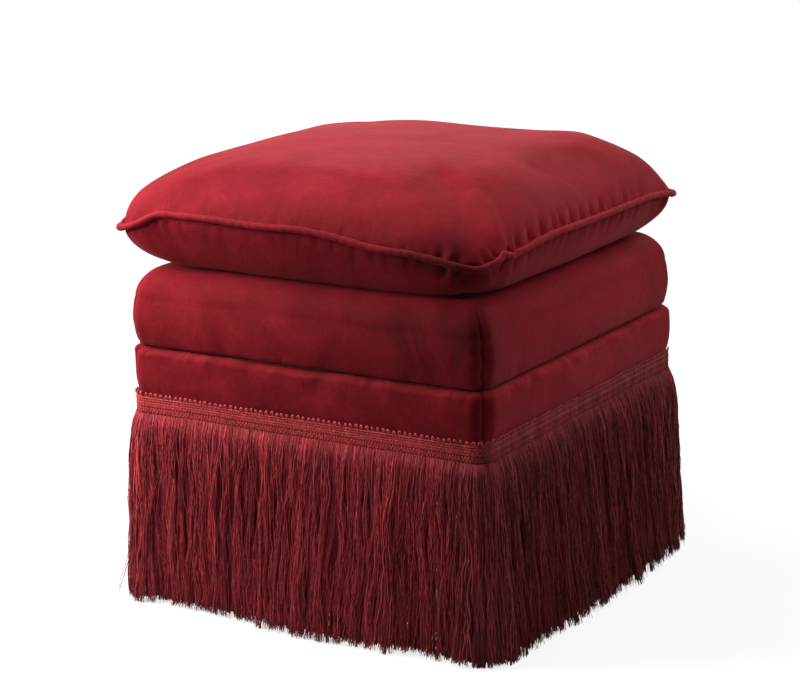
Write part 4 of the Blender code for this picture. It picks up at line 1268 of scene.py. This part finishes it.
def crowded(t, quarter, out):
    """Places along the sides moved towards the front right corner and its gathers, more so further out."""
    def towards_start(place):
        return (1 - CROWDING) * place + CROWDING * (2 * ((place + 1) / 2) ** 1.6 - 1)

    moved = np.where(quarter == 1, towards_start(t), np.where(quarter == 0, -towards_start(-t), t))
    return t + (moved - t) * out ** 3


def even_steps(horizontal, vertical, count):
    """Parameters at which a curve given by dense points has even steps, as fractions of the dense index."""
    length = np.concatenate([[0], np.cumsum(np.hypot(np.diff(horizontal), np.diff(vertical)))])
    return np.interp(np.linspace(0, length[-1], count), length, np.linspace(0, 1, len(length)))


def crown_steps(rings):
    """Shares of the way out, from 0 to 1, whose rings lie at even distances over the crown."""
    part = np.linspace(0, 1, 4000)
    dense = 1 - (1 - part) ** 2
    bulge = (1 - dense ** CROWN_FALL) ** CROWN_STEEPNESS
    return np.interp(even_steps(dense * CUSHION_HALF, bulge * CROWN_DEPTH, rings + 1), part, dense)


def under_steps(rings):
    """Distance in from the edge and share of the way down of each ring of the underside, middle out."""
    part = np.linspace(0, 1, 2000)
    turn = np.minimum(part / UNDER_BEND, 1) * math.pi / 2
    flat = np.maximum(part - UNDER_BEND, 0) / (1 - UNDER_BEND)
    inward = REST_MARGIN * (1 - np.cos(turn)) + flat * (CUSHION_HALF - REST_MARGIN)
    down = np.sin(turn)
    steps = even_steps(inward, down * UNDER_DEPTH, rings + 1)
    return np.interp(steps, part, inward)[::-1], np.interp(steps, part, down)[::-1]


def small_gathers(seed):
    """Seeded gathers all round the seam, deeper near the corners."""
    draw = np.random.default_rng(seed)
    found = []
    at = draw.uniform(0, GATHER_FIRST)
    while at < WAY_ROUND:
        near_corner = abs(at - round(at)) < CORNER_GATHERS
        depth = draw.uniform(*GATHER_DEPTHS) * (CORNER_GATHER_DEPTH if near_corner else 1.0)
        found.append((at, depth, draw.uniform(*GATHER_WIDTHS), draw.uniform(*GATHER_SLANTS)))
        at += draw.uniform(*GATHER_SPACING)
    return found


# All gathers over and under the seam, each list with its strength and how fast it fades away from the seam
GATHERS_ABOVE = ((GATHERS, 2.0, 0.0145), (small_gathers(41), 1.0, 0.012))
GATHERS_BELOW = ((UNDER_GATHERS, 1.0, 0.022), (small_gathers(43), 1.7, 0.020))


def triples(elements, name):
    """What each of a mesh's elements says under this name, as rows of three numbers."""
    values = np.zeros(len(elements) * 3, np.float32)
    elements.foreach_get(name, values)
    return values.reshape(-1, 3).astype(float)


def place_points(mesh, points):
    mesh.vertices.foreach_set("co", np.asarray(points, np.float32).ravel())
    mesh.update()


def spread_over(mesh, values, rounds=10):
    """Values at the points of a mesh, evened out with their neighbours, so that only the broad form stays."""
    ends = np.zeros(len(mesh.edges) * 2, np.int32)
    mesh.edges.foreach_get("vertices", ends)
    first, second = ends.reshape(-1, 2).T
    beside = np.bincount(ends, minlength=len(values))[:, None]
    for _ in range(rounds):
        total = np.zeros_like(values)
        np.add.at(total, first, values[second])
        np.add.at(total, second, values[first])
        values = (values + total / beside) / 2
    return values


def inflate(cover, seam):
    """Blows the cover up as cloth held at its seam, and keeps the shape it reaches within a set move."""
    held = cover.vertex_groups.new(name="held")
    held.add([int(number) for number in seam], 1.0, "REPLACE")
    cloth = cover.modifiers.new("cloth", "CLOTH")
    for name, value in CLOTH_SETTINGS.items():
        setattr(cloth.settings, name, value)
    cloth.settings.effector_weights.gravity = 0
    cloth.collision_settings.use_collision = False
    cloth.collision_settings.use_self_collision = False
    cloth.point_cache.frame_start = 1
    cloth.point_cache.frame_end = CLOTH_FRAMES
    scene = bpy.context.scene
    for number in range(1, CLOTH_FRAMES + 1):
        scene.frame_set(number)
    shaped = cover.evaluated_get(bpy.context.evaluated_depsgraph_get())
    after = triples(shaped.data.vertices, "co")
    before = triples(cover.data.vertices, "co")
    move = spread_over(cover.data, after - before)
    size = np.linalg.norm(move, axis=1)
    move *= (CLOTH_LIMIT * np.tanh(size / CLOTH_LIMIT) / np.maximum(size, TINY))[:, None]
    cover.modifiers.remove(cloth)
    cover.vertex_groups.clear()
    scene.frame_set(1)
    place_points(cover.data, before + move)


def subdivide(piece):
    """Applies one level of subdivision to the piece's mesh."""
    finer = piece.modifiers.new("finer", "SUBSURF")
    finer.levels = finer.render_levels = 1
    shaped = piece.evaluated_get(bpy.context.evaluated_depsgraph_get())
    mesh = bpy.data.meshes.new_from_object(shaped)
    piece.modifiers.remove(finer)
    piece.data = mesh


def crease(cover):
    """Gathers that run off the seam, and the slow unevenness of the filling."""
    def gathers(table):
        return sum(strength * dents(way, away, found, fall, CUSHION_SIDE) for found, strength, fall in table)

    points = triples(cover.data.vertices, "co")
    normals = triples(cover.data.vertex_normals, "vector")
    line, _, ways = seam_line(SEAM_POINTS)
    tree = KDTree(len(line))
    for number, place in enumerate(line):
        tree.insert(place, number)
    tree.balance()
    nearest = [tree.find(place)[1:] for place in points]
    way = ways[[number for number, _ in nearest]]
    away = np.array([distance for _, distance in nearest])
    upper = (normals[:, 2] > 0) | (points[:, 2] > seam_level(way) + UPPER_MARGIN)
    rise = ramped(away - GATHER_EDGE, GATHER_RISE)
    off_rest = ramped(points[:, 2] - rest_level, REST_FADE)
    swell = swells(points, CUSHION_SWELLS) * ramped(away, SWELL_FADE)
    above = swell - gathers(GATHERS_ABOVE) * rise
    below = (swell * UNDER_SWELL_SHARE - gathers(GATHERS_BELOW) * rise) * off_rest
    place_points(cover.data, points + normals * np.where(upper, above, below)[:, None])


def build_cushion():
    rings = CUSHION_RINGS
    ring, quarter, t = place_in_grid(rings)
    t = crowded(t, quarter, ring / rings)
    way = quarter + (t + 1) / 2
    seam = seam_level(way)
    edge_half = CUSHION_HALF - SEAM_INSET
    corner_share = (CUSHION_CORNER - SEAM_INSET) / edge_half
    at_edge = ring == rings

    def laid(reach, squareness, level):
        radius = reach * (1 - squareness * (1 - corner_share))
        points = np.zeros((*ring.shape, 3))
        for side in range(4):
            here = quarter == side
            plan, _ = cushion_plan(reach[here], radius[here], side, t[here], squareness[here])
            points[here] = turned(with_level(plan, level[here]), side)
        return points

    out = crown_steps(rings)[ring]
    bulge = (1 - out ** CROWN_FALL) ** (CROWN_STEEPNESS + near_corners(way, CORNER_POINTS))
    bulge *= 1 - near_corners(way, CORNER_TAPERS) * out ** 5
    top = laid(edge_half * out, out ** 2, seam + SEAM_LAP + (CROWN_LEVEL - seam) * bulge)
    from_rise = ((top[..., :2] - RISE_MIDDLE) ** 2).sum(axis=-1) / RISE_REACH ** 2
    top[..., 2] += LEFT_RISE * np.exp(-from_rise) * (1 - out ** 4)

    inward, down = (steps[ring] for steps in under_steps(rings))
    under_reach = edge_half - inward
    level = seam - SEAM_LAP + (rest_level - seam) * down
    under = laid(under_reach, np.clip(under_reach / edge_half, 0, 1) ** 2, level)
    under[at_edge] = top[at_edge]

    index = np.arange(ring.size).reshape(ring.shape)
    under_index = np.where(at_edge, index, index + ring.size)
    faces = np.concatenate([sheet_quads(index), sheet_quads(under_index)[..., ::-1]]).reshape(-1, 4)
    points, faces, used = only_used(np.concatenate([top.reshape(-1, 3), under.reshape(-1, 3)]), faces)
    cover = new_piece("cushion_cover", FINISH["velvet"], points, faces)
    outward(cover)
    inflate(cover, np.flatnonzero(np.tile(at_edge.ravel(), 2)[used]))
    subdivide(cover)
    crease(cover)
    press_for_zip(cover)
    assign(cover, "cushion", "velvet", "cushion_top", "cushion_underside", "cushion_pad")


def build_piping():
    """The velvet-covered cord along the seam, with a small nub at each corner."""
    path, outwards, way = seam_line(PIPING_COLUMNS, NUB_REACH)
    along = way * CUSHION_SIDE
    waviness = (share * np.sin(math.tau * along / length) for share, length in PIPING_WAVES)
    radius = PIPING_RADIUS * sum(waviness, start=1)
    radius += NUB_SWELL * bell(from_corner(way, CUSHION_SIDE), NUB_LENGTH)
    forward = np.roll(path, -1, axis=0) - np.roll(path, 1, axis=0)
    forward /= np.linalg.norm(forward, axis=1)[:, None]
    upward = np.cross(outwards, forward)
    upward /= np.linalg.norm(upward, axis=1)[:, None]
    outwards = np.cross(forward, upward)
    turn = circle(PIPING_AROUND)[None, :, None]
    offsets = outwards[:, None, :] * np.cos(turn) + upward[:, None, :] * np.sin(turn)
    points = path[:, None, :] + offsets * radius[:, None, None]
    size = points.shape[:2]
    faces = np.concatenate([grid_faces(*size), closing_faces(*size)])
    piece = new_piece("cushion_cord", FINISH["velvet_piping"], points.reshape(-1, 3), faces)
    outward(piece)
    assign(piece, "cushion", "velvet_piping", "cushion_piping")


# Zip: positions on it are (up its tape, out of it) in the plane of the tape's back

zip_low, zip_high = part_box("cushion_zip")
ZIP_LEAN = math.radians(24.4)
TAPE_WIDTH = 0.016
TAPE_THICKNESS = 0.0010
TAPE_COLUMNS = 321
TAPE_RIB = 0.0001
TAPE_RIB_PITCH = 0.0012
TAPE_PARTING = 0.0004
CHAIN_WIDTH = 0.005
CHAIN_HEIGHT = 0.0015
CHAIN_MIDDLE = TAPE_WIDTH / 2
TOOTH_PITCH = 0.0015
TOOTH_LENGTH = 0.0032
TOOTH_FULLNESS = (0.55, 0.95, 1.0, 1.0, 0.95, 0.55)
WELT_RADIUS = 0.0012
WELT_MARGIN = 0.0016
WELT_CORNER = 0.0030
WELT_LIFT = 0.0007
WELT_STEP = 0.0005
STITCH_PITCH = 0.0030
STITCH_WIDTH = 0.14
STITCH_DEPTH = 0.25
ZIP_SINK = 0.0004
ZIP_FOOT_Y = zip_low.y
ZIP_FOOT_Z = zip_low.z + TAPE_THICKNESS * math.sin(ZIP_LEAN)
# The flat pressed into the cover: how far past the tape it goes, how fast it fades and how deep it reaches
PRESS_END = 0.003
PRESS_EDGE = 0.001
PRESS_STRETCH = 1.6
PRESS_FADE = 0.0045
PRESS_DEPTH = 0.02


def on_zip(x, up, out):
    """Points at these places on the zip."""
    x, up, out = np.broadcast_arrays(x, up, out)
    y = ZIP_FOOT_Y + up * math.sin(ZIP_LEAN) + out * math.cos(ZIP_LEAN)
    z = ZIP_FOOT_Z + up * math.cos(ZIP_LEAN) - out * math.sin(ZIP_LEAN)
    return np.stack([x, y, z], axis=-1)


def press_for_zip(cover):
    """Presses the cover's underside flat behind the zip's tape."""
    points = triples(cover.data.vertices, "co")
    y, z = points[:, 1] - ZIP_FOOT_Y, points[:, 2] - ZIP_FOOT_Z
    up = y * math.sin(ZIP_LEAN) + z * math.cos(ZIP_LEAN)
    out = y * math.cos(ZIP_LEAN) - z * math.sin(ZIP_LEAN)
    past_end = np.maximum(np.abs(points[:, 0]) - zip_high.x - PRESS_END, 0)
    past_edge = np.maximum(np.abs(up - CHAIN_MIDDLE) - CHAIN_MIDDLE - PRESS_EDGE, 0)
    weight = bell(np.hypot(past_end / PRESS_STRETCH, past_edge), PRESS_FADE) * (np.abs(out) < PRESS_DEPTH)
    place_points(cover.data, on_zip(points[:, 0], up, out * (1 - weight) - ZIP_SINK * weight))


def tape_half(first, last):
    """One of the zip's two woven tapes, between two places up the zip."""
    x = np.linspace(-zip_high.x, zip_high.x, TAPE_COLUMNS)[:, None]
    up = np.linspace(first, last, 9)[None, :]
    rib = TAPE_RIB * np.sin(math.tau * (x / TAPE_RIB_PITCH + up / (2 * TAPE_RIB_PITCH)))
    front = on_zip(x, up, TAPE_THICKNESS - 2 * TAPE_RIB + rib)
    back = on_zip(x, up[:, ::-1], 0.0)
    return capped(np.concatenate([front, back], axis=1))


def chain_teeth():
    """The coils of the closed chain, which reach in from its two sides by turns."""
    around = circle(8)
    fullness = np.array(TOOTH_FULLNESS)[:, None]
    reach = np.linspace(-0.5, 0.5, len(fullness))[:, None] * TOOTH_LENGTH
    teeth = []
    for number in range(1, int(4 * zip_high.x / TOOTH_PITCH)):
        side = 1 if number % 2 else -1
        x = number * TOOTH_PITCH / 2 - zip_high.x + 0.42 * TOOTH_PITCH * fullness * np.cos(around)
        up = CHAIN_MIDDLE + side * (CHAIN_WIDTH - TOOTH_LENGTH) / 2 + reach
        out = TAPE_THICKNESS + CHAIN_HEIGHT / 2 * (1 + 0.9 * fullness * np.sin(around))
        teeth.append(capped(on_zip(x, up, out)))
    return teeth


def build_zip():
    """Two woven tapes with the closed chain between them."""
    tapes = [tape_half(TAPE_RIB, CHAIN_MIDDLE - TAPE_PARTING),
             tape_half(CHAIN_MIDDLE + TAPE_PARTING, TAPE_WIDTH - TAPE_RIB)]
    piece = new_piece("zip_tapes", FINISH["zip_tape"], *joined(tapes + chain_teeth()))
    outward(piece)
    assign(piece, "cushion", "zip_tape", "cushion_zip")


def build_welt():
    """The rolled and stitched edge of the cover round the zip's tape."""
    half_length, half_width = zip_high.x + WELT_MARGIN, CHAIN_MIDDLE
    track = []
    for quarter, (a, b) in enumerate(((1, 1), (-1, 1), (-1, -1), (1, -1))):
        turn = np.linspace(0, math.pi / 2, 9) + quarter * math.pi / 2
        x = a * (half_length - WELT_CORNER) + WELT_CORNER * np.cos(turn)
        track.append(np.stack([x, b * (half_width - WELT_CORNER) + WELT_CORNER * np.sin(turn)], axis=1))
    track = np.concatenate(track + [track[0][:1]])
    length = np.concatenate([[0], np.cumsum(np.linalg.norm(np.diff(track, axis=0), axis=1))])
    at = np.linspace(0, length[-1], round(length[-1] / WELT_STEP), endpoint=False)
    x, up = (np.interp(at, length, values) for values in track.T)
    forward = np.stack([np.roll(values, -1) - np.roll(values, 1) for values in (x, up)])
    forward /= np.linalg.norm(forward, axis=0)
    stitch = bell((at / STITCH_PITCH) % 1 - 0.5, STITCH_WIDTH)
    radius = (WELT_RADIUS * (1 - STITCH_DEPTH * stitch))[:, None]
    around = circle(10)
    sideways = radius * np.cos(around)
    rings = on_zip(x[:, None] + forward[1][:, None] * sideways,
                   CHAIN_MIDDLE + up[:, None] - forward[0][:, None] * sideways,
                   WELT_LIFT + radius * np.sin(around))
    faces = grid_faces(len(at) + 1, len(around)) % rings[..., 0].size
    piece = new_piece("zip_welt", FINISH["velvet"], rings.reshape(-1, 3), faces)
    outward(piece)
    assign(piece, "cushion", "velvet")


# Webbing and cloths, stretched and tacked to the rails

WAYS = ("across", "along")
STRAPS = (1, 2, 3)
strap_low, strap_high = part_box("strap_across_1")
deck_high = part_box("deck_cloth")[1]
dust_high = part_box("dust_cover")[1]
leg_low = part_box("leg_front_right")[0]
rail_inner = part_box("bottom_rail_right")[0].x
STRAP_WIDTH = strap_high.y - strap_low.y
STRAP_THICKNESS = 0.0014
STRAP_RISE = 0.0019
STRAP_RISE_LENGTH = 0.012
STRAP_BACK = 0.026
STRAP_LAYER = 0.0016
RIBBON_POINTS = 25
RIBBON_RIBS = 12
RIB_DEPTH = 0.18
SELVEDGE = 0.44
DECK_THICKNESS = 0.0007
DECK_QUADS = 80
DECK_SWELLS = ((0.05, SKIN / 4, 51),)
DUST_THICKNESS = 0.0006
DUST_SAG = 0.0045
TACK_PITCH = 0.055
TACK_PUCKER = 0.0004
TACK_REACH = 0.012


def ribbon(along, level, width, thickness):
    """A flat band of this width along X that follows a line of places and levels of its middle."""
    forward = np.stack([np.gradient(along), np.gradient(level)])
    forward /= np.linalg.norm(forward, axis=0)
    across = np.linspace(-0.5, 0.5, RIBBON_POINTS)
    rib = 1 - RIB_DEPTH * (0.5 + 0.5 * np.cos(math.tau * across * RIBBON_RIBS))
    selvedge = np.where(np.abs(across) > SELVEDGE, 1.0, rib)
    half = thickness / 2 * selvedge * np.sqrt(np.clip(1 - (2 * across) ** 16, 0, 1))
    across, half = np.append(across, across[::-1]), np.append(half, -half[::-1])
    x = along[:, None] - forward[1][:, None] * half
    z = level[:, None] + forward[0][:, None] * half
    return capped(np.stack([x, np.broadcast_to(across * width, x.shape), z], axis=-1))


def strap_line(middles, over):
    """Places and levels of a strap's middle, from one end turned back on it to the other."""
    end = strap_high.x - STRAP_LAYER / 2 - STRAP_THICKNESS / 2
    low = strap_low.z + STRAP_THICKNESS / 2 + SKIN / 2
    run = np.linspace(-end, end, 301)
    rise = np.zeros(len(run))
    for middle, is_over in zip(middles, over):
        share = ramped(STRAP_WIDTH / 2 + STRAP_RISE_LENGTH - np.abs(run - middle), STRAP_RISE_LENGTH)
        rise = np.maximum(rise, STRAP_RISE * is_over * share ** 2 * (3 - 2 * share))
    turn = np.linspace(0, math.pi, 7)[1:-1]
    round_x = end + STRAP_LAYER / 2 * np.sin(turn)
    round_z = low + STRAP_LAYER / 2 * (1 - np.cos(turn))
    back = np.linspace(end, end - STRAP_BACK, 16)
    back_z = np.full(len(back), low + STRAP_LAYER)
    along = np.concatenate([-back[::-1], -round_x[::-1], run, round_x, back])
    return along, np.concatenate([back_z, round_z[::-1], low + rise, round_z, back_z])


def build_straps():
    """Webbing that passes over and under by turns, each end folded back on its rail."""
    middles = [sum(box.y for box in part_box(f"strap_across_{number}")) / 2 for number in STRAPS]
    for crosswise, way in enumerate(WAYS):
        for index, number in enumerate(STRAPS):
            over = [(index + other + crosswise) % 2 == 0 for other in range(len(STRAPS))]
            along, level = strap_line(middles, over)
            points, faces = ribbon(along, level, STRAP_WIDTH, STRAP_THICKNESS)
            points[:, 1] += middles[index]
            piece = new_piece(f"webbing_{way}_{number}", FINISH["webbing"], turned(points, crosswise), faces)
            outward(piece)
            assign(piece, "stool", "webbing", f"strap_{way}_{number}")


def cloth(name, slot, replaced, x, level, thickness, kept):
    """A cloth over a square grid of places, with its upper face at this level, where its quads are kept."""
    upper = np.stack([*np.meshgrid(x, x, indexing="ij"), level], axis=-1)
    lower = upper - np.array([0, 0, thickness])
    count = level.size
    quads = sheet_quads(np.arange(count).reshape(level.shape))
    around = np.pad(kept, 1)
    beside = (around[1:-1, :-2], around[2:, 1:-1], around[1:-1, 2:], around[:-2, 1:-1])
    faces = [quads[kept], quads[kept][:, ::-1] + count]
    for side, neighbour in enumerate(beside):
        edge = quads[kept & ~neighbour]
        first, second = edge[:, side], edge[:, (side + 1) % 4]
        faces.append(np.stack([second, first, first + count, second + count], axis=1))
    points = np.concatenate([upper.reshape(-1, 3), lower.reshape(-1, 3)])
    points, faces, _ = only_used(points, np.concatenate(faces))
    piece = new_piece(name, FINISH[slot], points, faces)
    outward(piece)
    assign(piece, "stool", slot, replaced)
    return piece


def build_deck():
    """Hessian over the webbing, a little uneven where the straps lie under it."""
    x = np.linspace(-deck_high.x, deck_high.x, DECK_QUADS + 1)
    level = deck_high.z - SKIN / 2 + swells(np.stack(np.meshgrid(x, x, indexing="ij"), axis=-1), DECK_SWELLS)
    kept = np.ones((DECK_QUADS, DECK_QUADS), bool)
    piece = cloth("seat_hessian", "hessian", "deck_cloth", x, level, DECK_THICKNESS, kept)


def build_dust_cover():
    """Thin cloth under the bottom rails, cut out round the legs, that sags a little between its tacks."""
    notch = leg_low.x - SKIN
    ends = np.linspace(notch, dust_high.x, 13)[1:]
    x = np.concatenate([-ends[::-1], np.linspace(-notch, notch, 67), ends])
    wide, deep = np.meshgrid(x, x, indexing="ij")
    inside = np.clip(1 - (wide / rail_inner) ** 2, 0, 1) * np.clip(1 - (deep / rail_inner) ** 2, 0, 1)
    pucker = 0.5 + 0.5 * np.cos(math.tau * (np.abs(wide - deep) + np.abs(wide + deep)) / TACK_PITCH)
    near_rail = bell(rail_inner - np.maximum(np.abs(wide), np.abs(deep)), TACK_REACH)
    level = dust_high.z - SKIN / 2 - DUST_SAG * np.sqrt(inside) - TACK_PUCKER * pucker * near_rail
    past = np.abs((x[:-1] + x[1:]) / 2) > notch
    kept = ~(past[:, None] & past[None, :])
    piece = cloth("bottom_cloth", "dust_cloth", "dust_cover", x, level, DUST_THICKNESS, kept)


# Pieces that keep the shape of their CAD node

def dress(name, material):
    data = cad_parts[name].data
    data.materials.clear()
    data.materials.append(material)


def dress_frame():
    for corner in CORNERS:
        dress("leg_" + corner, WOODS[2])
        dress("corner_block_" + corner, WOODS[2])
        dress("glide_" + corner, FINISH["glide"])
    for quarter, side in enumerate(SIDES):
        for level in ("bottom", "top"):
            dress(f"{level}_rail_{side}", WOODS[quarter % 2])
    dress("zip_slider", FINISH["zip_metal"])


# Stage: floor, lights and camera

FLOOR_SIZE = 14.0
FLOOR_GLOW_NEAR = 0.77
FLOOR_GLOW_FAR = 1.0
GLOW_NEAR_REACH = 0.55
GLOW_FAR_REACH = 2.2
ROOM_LIGHT = 0.095
LAMP_AIM = (0, 0, 0.3)
# Soft square lamps: azimuth from the front to the right, elevation, distance, size, power and colour
LAMPS = {
    "key": (-50, 32, 0.95, 0.55, 12.1, (1.0, 0.985, 0.965)),
    "top": (62, 65, 1.5, 0.8, 6.0, WHITE),
    "over": (-95, 68, 0.95, 0.6, 3.2, WHITE),
    "side": (122, 36, 1.8, 0.9, 7.2, WHITE),
    "back": (165, 30, 1.9, 1.1, 9, (1.0, 0.99, 0.99)),
}


def seen_ray(tree, strength):
    """The strength where the camera sees the surface, directly or in gloss or glass, and none elsewhere."""
    path = add_node(tree, "ShaderNodeLightPath")
    total = path.outputs["Is Camera Ray"]
    for name in ("Is Glossy Ray", "Is Transmission Ray"):
        made = add_node(tree, "ShaderNodeMath", {0: total, 1: path.outputs[name]}, operation="MAXIMUM")
        total = made.outputs["Value"]
    return add_node(tree, "ShaderNodeMath", {0: total, 1: strength}, operation="MULTIPLY").outputs["Value"]


def floor_material():
    """Pale floor that shows near white to the camera, with the object's shadow kept round it."""
    paint = Paint("pale_floor", Base_Color=(0.34, 0.34, 0.336, 1.0), Roughness=1.0, Specular_IOR_Level=0.0,
                  Emission_Color=(*WHITE, 1.0))
    length = paint.node("ShaderNodeVectorMath", {0: paint.place}, operation="LENGTH").outputs["Value"]
    inputs = {"Value": length, "From Min": GLOW_NEAR_REACH, "From Max": GLOW_FAR_REACH,
              "To Min": FLOOR_GLOW_NEAR, "To Max": FLOOR_GLOW_FAR}
    glow = paint.node("ShaderNodeMapRange", inputs).outputs["Result"]
    feed(paint.tree, paint.shader.inputs["Emission Strength"], seen_ray(paint.tree, glow))
    return paint.material


def build_stage():
    points = [(FLOOR_SIZE * x, FLOOR_SIZE * y, 0) for x, y in ((-1, -1), (1, -1), (1, 1), (-1, 1))]
    new_piece("floor", floor_material(), points, np.arange(4)[None, :], smooth=False)
    world = bpy.data.worlds.new("studio")
    world.use_nodes = True
    bpy.context.scene.world = world
    tree = world.node_tree
    room = tree.nodes["Background"]
    room.inputs["Color"].default_value = (1.0, 0.985, 0.97, 1.0)
    room.inputs["Strength"].default_value = ROOM_LIGHT
    shown = add_node(tree, "ShaderNodeBackground", {"Color": (*WHITE, 1.0), "Strength": 1.0})
    shaders = {0: seen_ray(tree, 1.0), 1: room.outputs["Background"], 2: shown.outputs["Background"]}
    mix = add_node(tree, "ShaderNodeMixShader", shaders)
    tree.links.new(mix.outputs["Shader"], tree.nodes["World Output"].inputs["Surface"])


def towards(azimuth, elevation):
    """Direction out from the object; azimuth 0 is in front and 90 to the right."""
    turn, tilt = math.radians(azimuth), math.radians(elevation)
    return Vector((math.sin(turn) * math.cos(tilt), -math.cos(turn) * math.cos(tilt), math.sin(tilt)))


def build_lamps():
    for name, (azimuth, elevation, distance, size, power, colour) in LAMPS.items():
        back = towards(azimuth, elevation)
        data = bpy.data.lights.new(name, "AREA")
        data.shape = "SQUARE"
        data.size = size
        data.energy = power
        data.color = colour
        lamp = bpy.data.objects.new(name, data)
        bpy.context.scene.collection.objects.link(lamp)
        lamp.location = Vector(LAMP_AIM) + back * distance
        lamp.rotation_mode = "QUATERNION"
        lamp.rotation_quaternion = (-back).to_track_quat("-Z", "Y")


def build_camera():
    turn, roll = math.radians(CAMERA_AZIMUTH), math.radians(CAMERA_ROLL)
    back = towards(CAMERA_AZIMUTH, CAMERA_ELEVATION)
    right = Vector((math.cos(turn), math.sin(turn), 0))
    up = back.cross(right)
    place = back * CAMERA_DISTANCE + right * CAMERA_RIGHT + up * CAMERA_UP
    rolled_right = right * math.cos(roll) + up * math.sin(roll)
    rolled_up = up * math.cos(roll) - right * math.sin(roll)
    axes = Matrix((rolled_right, rolled_up, back)).transposed()
    data = bpy.data.cameras.new("camera")
    data.sensor_width = SENSOR_WIDTH
    data.lens = SENSOR_WIDTH * FOCAL_PIXELS / PICTURE_WIDTH
    data.shift_y = -CENTRE_SHIFT / PICTURE_WIDTH
    data.clip_end = CLIP_END
    camera = bpy.data.objects.new("camera", data)
    bpy.context.scene.collection.objects.link(camera)
    camera.matrix_world = Matrix.Translation(place) @ axes.to_4x4()
    bpy.context.scene.camera = camera


build_camera()
build_seat()
build_band()
for quarter, side in enumerate(SIDES):
    build_braid(side, quarter)
    build_fringe(side, quarter)
build_cushion()
build_piping()
build_zip()
build_welt()
build_straps()
build_deck()
build_dust_cover()
dress_frame()
build_stage()
build_lamps()
bpy.context.scene.view_settings.view_transform = "Standard"
